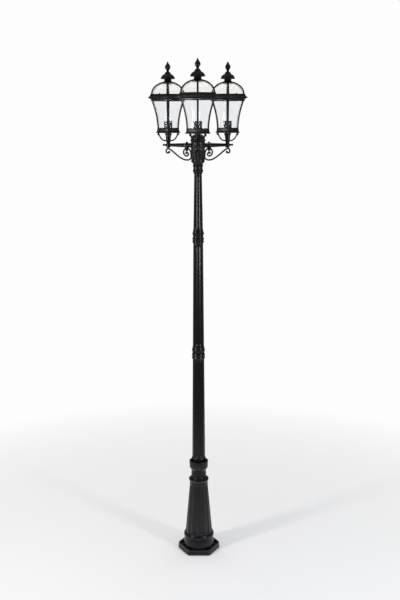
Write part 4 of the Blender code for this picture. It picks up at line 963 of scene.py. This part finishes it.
def body_frame():
    foot, top = BODY_FOOT, BODY_TOP
    ring_top = foot + 0.008
    seat = foot + GLASS_SEAT
    rebate = body_radius(ring_top) - RIB_DEPTH
    outer = BODY_FOOT_RADIUS + 0.002
    outline = [(outer, foot), (outer, ring_top - 0.0024), (outer - 0.0008, ring_top - 0.0008)]
    outline += [(outer - 0.0020, ring_top), (rebate, ring_top), (rebate, seat), (rebate - 0.005, seat)]
    outline += [(rebate - 0.005, foot)]
    foot_ring = loft([hexagon(r, z) for r, z in outline], looped=True)
    inner = body_radius(top) - RIB_DEPTH
    outer = BODY_TOP_RADIUS + 0.003
    low = top - 0.006
    outline = [(inner, low), (outer - 0.0006, low), (outer, low + 0.0008), (outer, top), (inner, top)]
    top_ring = loft([hexagon(r, z) for r, z in outline], looped=True)
    levels = body_levels(seat, top - 0.6 * RIB_DEPTH)
    rib = sweep([(body_radius(z) - RIB_DEPTH, z) for z in levels], None,
        outline=[(s, -o) for s, o in rib_section()])
    return cut_and_joined(foot_ring, [
        ("UNION", around(rib, range(0, 360, 60))),
        ("UNION", top_ring),
        ("DIFFERENCE", screw_holes(low - 0.002, top + 0.002)),
    ])


def body_glass():
    levels = body_levels(BODY_FOOT + GLASS_SEAT + GAP, BODY_TOP - GAP)
    wall = GLASS_THICKNESS / HEX
    surface = [(body_radius(z) - RIB_DEPTH - GLASS_GAP, z) for z in levels]
    outside = [hexagon(r, z, 0.0008, 2) for r, z in surface]
    inside = [hexagon(r - wall, z, 0.0008, 2) for r, z in reversed(surface)]
    return loft(outside + inside, looped=True)


def lamp_holder():
    """A ribbed skirt over a plain body, with the mouth's rounded lip."""
    foot, top = span("lamp_holder_front")
    hole = NIPPLE_RADIUS + GAP
    inner = HOLDER_RADIUS - HOLDER_WALL
    full = HOLDER_RADIUS
    outline = [(hole, foot), (full - 0.0012, foot), (full, foot + 0.0012), (full, foot + 0.0200)]
    outline += [(full - 0.0008, foot + 0.0208), (full - 0.0008, foot + 0.0222), (full, foot + 0.0230)]
    outline += [(full, foot + 0.0400), (full - 0.0008, foot + 0.0408), (full - 0.0008, foot + 0.0422)]
    outline += [(full, foot + 0.0430)]
    outline += arc((full - 0.0024, top - 0.0024), 0.0024, 0.0, 90.0, 5)
    outline += [(inner + 0.0006, top), (inner, top - 0.0006), (inner, foot + HOLDER_FLOOR)]
    outline += [(hole, foot + HOLDER_FLOOR)]
    rings = []
    for r, z in outline:
        points = circle(r, z, ROUND)
        ribbed = r > full - 0.0004 and foot + 0.021 < z < foot + 0.042
        for k, point in enumerate(points):
            if ribbed and k % 4 < 2:
                point.xy *= 1.0 - 0.0007 / r
        rings.append(points)
    return loft(rings, looped=True)


def contact_shell():
    """The brass cup, rolled into rounded threads."""
    foot, top = span("contact_shell_front")
    outer = HOLDER_RADIUS - HOLDER_WALL - GAP
    wall = 0.0012
    levels = [foot + 0.002 + (top - foot - 0.003) * i / 60 for i in range(61)]
    wave = [0.0006 * math.cos(2.0 * math.pi * (z - foot) / 0.0036) - 0.0006 for z in levels]
    outside = [(outer + w, z) for w, z in zip(wave, levels)]
    inside = [(outer - wall + w, z) for w, z in zip(wave, levels)]
    outline = [(outer - wall, foot + wall)] + inside + [(outer - wall, top), (outer, top)]
    outline += list(reversed(outside)) + [(outer, foot)]
    return lathe(outline, SMALL_ROUND, looped=False)


def dome_side(radius, rise, steps=22):
    last = math.acos(DOME_OPENING / GLASS_DOME_RADIUS)
    turns = [last * i / steps for i in range(steps + 1)]
    return [(radius * math.cos(a), EAVE_TOP + rise * math.sin(a)) for a in turns]


def eave_ring():
    foot, edge = EAVE_FOOT, EAVE_RADIUS
    recess = GLASS_DOME_RADIUS + GLASS_GAP
    outline = [(edge - 0.0200, foot)]
    outline += eased([(edge - 0.0165, foot + 0.0010), (edge - 0.0105, foot + 0.0045),
        (edge - 0.0042, foot + 0.0075), (edge - 0.0016, foot + 0.0084)], 4)
    outline += arc((edge - 0.0018, foot + 0.0102), 0.0018, -70.0, 60.0, 5)
    outline += eased([(edge - 0.0016, foot + 0.0130), (edge - 0.0050, foot + 0.0152),
        (edge - 0.0098, foot + 0.0182), (edge - 0.0128, foot + 0.0222),
        (edge - 0.0136, foot + 0.0250)], 4)
    outline += [(edge - 0.0140, EAVE_TOP - 0.0012), (edge - 0.0150, EAVE_TOP), (recess, EAVE_TOP)]
    outline += [(recess, EAVE_TOP - EAVE_LEDGE), (recess - 0.007, EAVE_TOP - EAVE_LEDGE)]
    outline += [(recess - 0.007, foot)]
    return loft([hexagon(r, z) for r, z in outline], looped=True)


def roof_hub():
    bore = CHIMNEY_RADIUS - CHIMNEY_WALL
    stud = STUD_RADIUS + GAP
    disc = HUB_FOOT + HUB_THICKNESS
    outline = [(bore, HUB_FOOT), (HUB_RADIUS - 0.0008, HUB_FOOT), (HUB_RADIUS, HUB_FOOT + 0.0008)]
    outline += eased([(HUB_RADIUS - 0.0004, HUB_FOOT + 0.0028), (CHIMNEY_RADIUS + 0.0056, disc - 0.0010),
        (CHIMNEY_RADIUS + 0.0016, disc + 0.0006), (CHIMNEY_RADIUS, disc + 0.0030)], 4)
    outline += [(CHIMNEY_RADIUS, CHIMNEY_TOP - 0.0005), (CHIMNEY_RADIUS - 0.0005, CHIMNEY_TOP)]
    outline += [(stud, CHIMNEY_TOP), (stud, CHIMNEY_TOP - CHIMNEY_WALL)]
    outline += [(bore, CHIMNEY_TOP - CHIMNEY_WALL)]
    return lathe(outline, SMALL_ROUND)


def roof_frame():
    inner = CHIMNEY_RADIUS - 0.001
    last = math.acos(inner / DOME_RADIUS)
    turns = [last * i / 30 for i in range(31)]
    path = [(DOME_RADIUS, EAVE_TOP - 0.004)]
    path += [(DOME_RADIUS * math.cos(a), EAVE_TOP + DOME_RISE * math.sin(a)) for a in turns]
    rib = sweep(path, None,
        outline=[(s, RIB_DEPTH - o) for s, o in rib_section()])
    return cut_and_joined(eave_ring(), [
        ("UNION", around(rib, range(0, 360, 60))),
        ("UNION", roof_hub()),
        ("DIFFERENCE", screw_holes(EAVE_FOOT - 0.002, EAVE_TOP + 0.002)),
    ])


def roof_glass():
    foot = EAVE_TOP - EAVE_LEDGE + GAP
    wall = GLASS_THICKNESS / HEX
    outer, rise = GLASS_DOME_RADIUS, GLASS_DOME_RISE
    outside = [(outer, foot)] + dome_side(outer, rise)
    inside = list(reversed(dome_side(outer - wall, rise - GLASS_THICKNESS))) + [(outer - wall, foot)]
    return loft([hexagon(r, z, 0.0008, 2) for r, z in outside + inside], looped=True)


def vent_cap():
    foot, top = span("vent_cap_front")
    edge = VENT_CAP_RADIUS
    seat = foot + VENT_CAP_SKIRT
    stud = STUD_RADIUS + GAP
    outline = [(stud, seat), (CHIMNEY_RADIUS + 0.0015, seat), (CHIMNEY_RADIUS + 0.0040, seat + 0.0040)]
    outline += [(edge - 0.0060, foot + 0.0060), (edge - 0.0034, foot + 0.0024)]
    outline += arc((edge - 0.0014, foot + 0.0014), 0.0014, 215.0, 360.0, 6)
    outline += eased([(edge - 0.0002, foot + 0.0030), (edge - 0.0014, foot + 0.0070),
        (edge - 0.0046, foot + 0.0130), (edge - 0.0096, foot + 0.0186),
        (edge - 0.0156, foot + 0.0228), (FINIAL_BASE_RADIUS + 0.0014, foot + 0.0256)], 5)
    outline += [(FINIAL_BASE_RADIUS + 0.0006, top - 0.0008), (FINIAL_BASE_RADIUS - 0.0006, top), (stud, top)]
    return lathe(outline, looped=True)


def finial():
    """A bud of eight petals on a flared foot, with its threaded stud."""
    bottom, top = span("finial_front")
    foot = span("vent_cap_front")[1] + GAP
    height = top - foot
    full = FINIAL_RADIUS
    outline = [(STUD_RADIUS - 0.0006, bottom), (STUD_RADIUS, bottom + 0.0006), (STUD_RADIUS, foot)]
    outline += [(FINIAL_BASE_RADIUS - 0.0008, foot), (FINIAL_BASE_RADIUS, foot + 0.0008)]
    shares = [(0.035, FINIAL_BASE_RADIUS - 0.0002), (0.070, FINIAL_BASE_RADIUS - 0.0022)]
    shares += [(0.115, 0.0092), (0.160, 0.0070), (0.205, 0.0066), (0.235, 0.0082), (0.262, 0.0086)]
    shares += [(0.285, 0.0074), (0.310, 0.0078), (0.360, 0.0112), (0.430, 0.0138), (0.500, full)]
    shares += [(0.580, 0.0139), (0.670, 0.0116), (0.760, 0.0084), (0.840, 0.0056), (0.910, 0.0036)]
    shares += [(0.965, 0.0022), (1.0, 0.0006)]
    outline += eased([(radius, foot + share * height) for share, radius in shares], 4)
    petal_low, petal_high = foot + 0.30 * height, foot + 0.97 * height
    rings = []
    for r, z in outline:
        share = min(max((z - petal_low) / (petal_high - petal_low), 0.0), 1.0)
        depth = 0.085 * math.sin(math.pi * share) ** 0.5
        points = circle(r, z, ROUND)
        for k, point in enumerate(points):
            lobe = abs(math.cos(4.0 * 2.0 * math.pi * k / ROUND + 2.2 * share))
            point.xy *= 1.0 - depth * (1.0 - lobe)
        rings.append(points)
    return loft(rings)


def roof_screw():
    """A pan-head screw with a crossed recess."""
    low, high = span("roof_screw_a_front")
    head = EAVE_TOP + GAP
    outline = [(SCREW_RADIUS - 0.0004, low), (SCREW_RADIUS, low + 0.0005), (SCREW_RADIUS, head)]
    outline += [(SCREW_HEAD_RADIUS - 0.0002, head), (SCREW_HEAD_RADIUS, head + 0.0003)]
    outline += [(SCREW_HEAD_RADIUS, head + 0.0012)]
    outline += eased([(0.96 * SCREW_HEAD_RADIUS, high - 0.0014), (0.72 * SCREW_HEAD_RADIUS, high - 0.0005),
        (0.40 * SCREW_HEAD_RADIUS, high - 0.0001), (0.0003, high)], 3)
    slot = prism([(-0.0022, -0.0004), (0.0022, -0.0004), (0.0022, 0.0004), (-0.0022, 0.0004)],
        high - 0.0016, high + 0.001)
    return cut_and_joined(lathe(outline, 32, False), [("DIFFERENCE", slot),
        ("DIFFERENCE", around(slot, (90.0,)))])


# ---------------- assembly
def build_post():
    coat_piece("base_plate_look", base_plate(), "post", "base_casting", edge=0.0006)
    coat_piece("base_shaft_look", base_shaft(), "post", "base_casting")
    coat_piece("lock_ring_look", lock_ring(), "post", "lock_ring")
    cup_floor = span("lock_ring")[1] - LOCK_CUP_DEPTH + GAP
    lower_collar, upper_collar = span("lower_joint_collar"), span("upper_joint_collar")
    neck_foot = span("capital_neck")[0]
    poles = (
        ("lower_pole", cup_floor, lower_collar[0] - GAP, LOWER_RADII, FOOT_SPIGOT_RADIUS,
         LOWER_COLLAR[2] - GAP, POLE_BORES[0], 0.045, (LOWER_BEAD_RADIUS, cup_floor + LOWER_BEAD_LEVEL)),
        ("middle_pole", lower_collar[1] + GAP, upper_collar[0] - GAP, MIDDLE_RADII,
         LOWER_COLLAR[2] - GAP, UPPER_COLLAR[2] - GAP, POLE_BORES[1], 0.006, None),
        ("upper_pole", upper_collar[1] + GAP, neck_foot - GAP, UPPER_RADII,
         UPPER_COLLAR[2] - GAP, NECK_SOCKET_RADIUS - GAP, POLE_BORES[2], 0.006, None),
    )
    for node, *sizes in poles:
        coat_piece(node + "_look", pole(node, *sizes), "post", node, material=TUBE_COAT)
    for node, radii in (("lower_joint_collar", LOWER_COLLAR), ("upper_joint_collar", UPPER_COLLAR)):
        coat_piece(node + "_look", joint_collar(node, radii), "post", node, material=TUBE_COAT)
    coat_piece("capital_neck_look", capital_neck(), "post", "capital_neck", material=FINE_COAT)
    coat_piece("capital_sleeve_look", capital_sleeve(), "post", "capital_sleeve", edge=0.0)
    coat_piece("capital_cap_look", capital_cap(), "post", "capital_cap")
    block = frame["nodes"]["terminal_block"]
    block.data.materials.clear()
    block.data.materials.append(PLASTIC)


def build_arms():
    """Each shape is made once, then copied to the three arms."""
    coat, glass, plastic, brass = "black_coat", "clear_glass", "black_plastic", "brass"
    shapes = [
        ("arm", arm(), 0.0, CAST_COAT, coat, "post", 0.0004),
        ("arm_collar", arm_collar(), 0.0, CAST_COAT, coat, "post", 0.0003),
        ("scroll_bracket", scroll_bracket(), 0.0, FINE_COAT, coat, "post", 0.0),
        ("lantern_stem", lantern_stem(), REACH, FINE_COAT, coat, "post", 0.0003),
        ("lantern_braces", lantern_braces(), REACH, FINE_COAT, coat, "post", 0.0),
        ("lantern_pan", lantern_pan(), REACH, CAST_COAT, coat, "post", 0.0004),
        ("body_frame", body_frame(), REACH, FINE_COAT, coat, "post", 0.0),
        ("body_glass", body_glass(), REACH, BODY_GLASS, glass, "post", 0.0),
        ("lamp_holder", lamp_holder(), REACH, PLASTIC, plastic, "post", 0.0002),
        ("contact_shell", contact_shell(), REACH, BRASS, brass, "post", 0.0),
        ("roof_frame", roof_frame(), REACH, FINE_COAT, coat, "roof", 0.0),
        ("roof_glass", roof_glass(), REACH, DOME_GLASS, glass, "roof", 0.0),
        ("vent_cap", vent_cap(), REACH, CAST_COAT, coat, "roof", 0.0003),
        ("finial", finial(), REACH, CAST_COAT, coat, "finial", 0.0002),
    ]
    screw = roof_screw()
    for where, direction in ARMS.items():
        for name, mesh, reach, material, slot, body, edge in shapes:
            rides = body if body == "post" else f"{body}_{where}"
            node = f"{name}_{where}"
            piece(node + "_look", moved(mesh, reach, turn=direction), material, slot, rides, node, edge=edge)
        for letter, side in (("a", 1.0), ("b", -1.0)):
            node = f"roof_screw_{letter}_{where}"
            mesh = moved(screw, REACH, side * screw_reach(), direction)
            piece(node + "_look", mesh, FINE_COAT, coat, f"roof_{where}", node, edge=0.0)


# ---------------- studio
FLOOR_RADIUS = 6.0
FLOOR_DROP = 0.0005
FLOOR_FADE = (0.5, 2.6)  # the fade's start and end, from the post's axis


def floor():
    """A pale floor that fades into the white behind it."""
    shape = bmesh.new()
    bmesh.ops.create_circle(shape, cap_ends=True, segments=128, radius=FLOOR_RADIUS)
    mesh = bpy.data.meshes.new("floor")
    shape.to_mesh(mesh)
    shape.free()
    made = bpy.data.objects.new("floor", mesh)
    bpy.context.collection.objects.link(made)
    made.location.z = cad_box[0].z - FLOOR_DROP
    finish = Finish("pale_floor")
    finish.set(Roughness=0.65, Specular_IOR_Level=0.25)
    tone = finish.mix(finish.noise(1.2), (0.93, 0.925, 0.92), (0.96, 0.955, 0.95))
    finish.link(tone, finish.shader.inputs["Base Color"])
    distance = finish.add("ShaderNodeVectorMath", operation="LENGTH")
    finish.link(finish.place, distance.inputs[0])
    fade = finish.spread(distance.outputs["Value"], 0.0, 1.0, *FLOOR_FADE)
    clear = finish.add("ShaderNodeBsdfTransparent")
    blend = finish.add("ShaderNodeMixShader")
    finish.link(fade, blend.inputs["Fac"])
    finish.link(finish.shader.outputs["BSDF"], blend.inputs[1])
    finish.link(clear.outputs["BSDF"], blend.inputs[2])
    finish.link(blend.outputs["Shader"], finish.tree.nodes["Material Output"].inputs["Surface"])
    mesh.materials.append(finish.material)


def softbox(name, place, target, size, power, colour):
    light = bpy.data.lights.new(name, "AREA")
    light.shape = "RECTANGLE"
    light.size, light.size_y = size
    light.energy = power
    light.color = colour
    made = bpy.data.objects.new(name, light)
    bpy.context.collection.objects.link(made)
    made.location = place
    made.rotation_euler = (Vector(target) - Vector(place)).to_track_quat("-Z", "Y").to_euler()
    return made


def world():
    """White where it is looked at, also through glass, and dimmer as a source of light."""
    made = bpy.data.worlds.new("studio")
    bpy.context.scene.world = made
    made.use_nodes = True
    tree = made.node_tree
    tree.nodes.clear()
    output = tree.nodes.new("ShaderNodeOutputWorld")
    seen, lit = tree.nodes.new("ShaderNodeBackground"), tree.nodes.new("ShaderNodeBackground")
    seen.inputs["Color"].default_value = (0.985, 0.985, 0.985, 1.0)
    lit.inputs["Color"].default_value = (0.93, 0.95, 1.0, 1.0)
    lit.inputs["Strength"].default_value = 0.20
    rays = tree.nodes.new("ShaderNodeLightPath")
    either = tree.nodes.new("ShaderNodeMath")
    either.operation = "MAXIMUM"
    tree.links.new(rays.outputs["Is Camera Ray"], either.inputs[0])
    tree.links.new(rays.outputs["Is Transmission Ray"], either.inputs[1])
    blend = tree.nodes.new("ShaderNodeMixShader")
    tree.links.new(either.outputs["Value"], blend.inputs["Fac"])
    tree.links.new(lit.outputs["Background"], blend.inputs[1])
    tree.links.new(seen.outputs["Background"], blend.inputs[2])
    tree.links.new(blend.outputs["Shader"], output.inputs["Surface"])


def studio():
    world()
    floor()
    middle = 0.62 * cad_box[1].z
    softbox("left_strip", (-2.15, -1.45, 1.95), (0.0, 0.0, middle), (0.30, 1.5), 30.0, (1.0, 0.98, 0.96))
    softbox("right_strip", (2.05, -1.90, 1.85), (0.0, 0.0, middle), (0.30, 1.4), 26.0, (0.86, 0.92, 1.0))
    overhead = softbox("overhead", (0.0, 0.4, 4.6), (0.0, 0.0, 0.0), (3.2, 3.2), 135.0, (1.0, 1.0, 1.0))
    overhead.visible_glossy = False  # it lights the floor without greying the coat


# The camera stands in front of the post level with its lantern bodies, looking down.
CAMERA_DISTANCE = 4.591
CAMERA_HEIGHT = 2.401
CAMERA_ASIDE = 0.009
CAMERA_PITCH = 11.758
CAMERA_ROLL = -0.124
LENS = 52.15


def camera():
    data = bpy.data.cameras.new("camera")
    data.lens = LENS
    data.sensor_width = 36.0
    made = bpy.data.objects.new("camera", data)
    bpy.context.collection.objects.link(made)
    made.location = (CAMERA_ASIDE, -CAMERA_DISTANCE, CAMERA_HEIGHT)
    tilt = Matrix.Rotation(math.radians(90.0 - CAMERA_PITCH), 4, "X")
    roll = Matrix.Rotation(math.radians(CAMERA_ROLL), 4, "Z")
    made.rotation_euler = (tilt @ roll).to_euler()
    bpy.context.scene.camera = made
    bpy.context.scene.view_settings.view_transform = "Standard"


build_post()
build_arms()
studio()
camera()
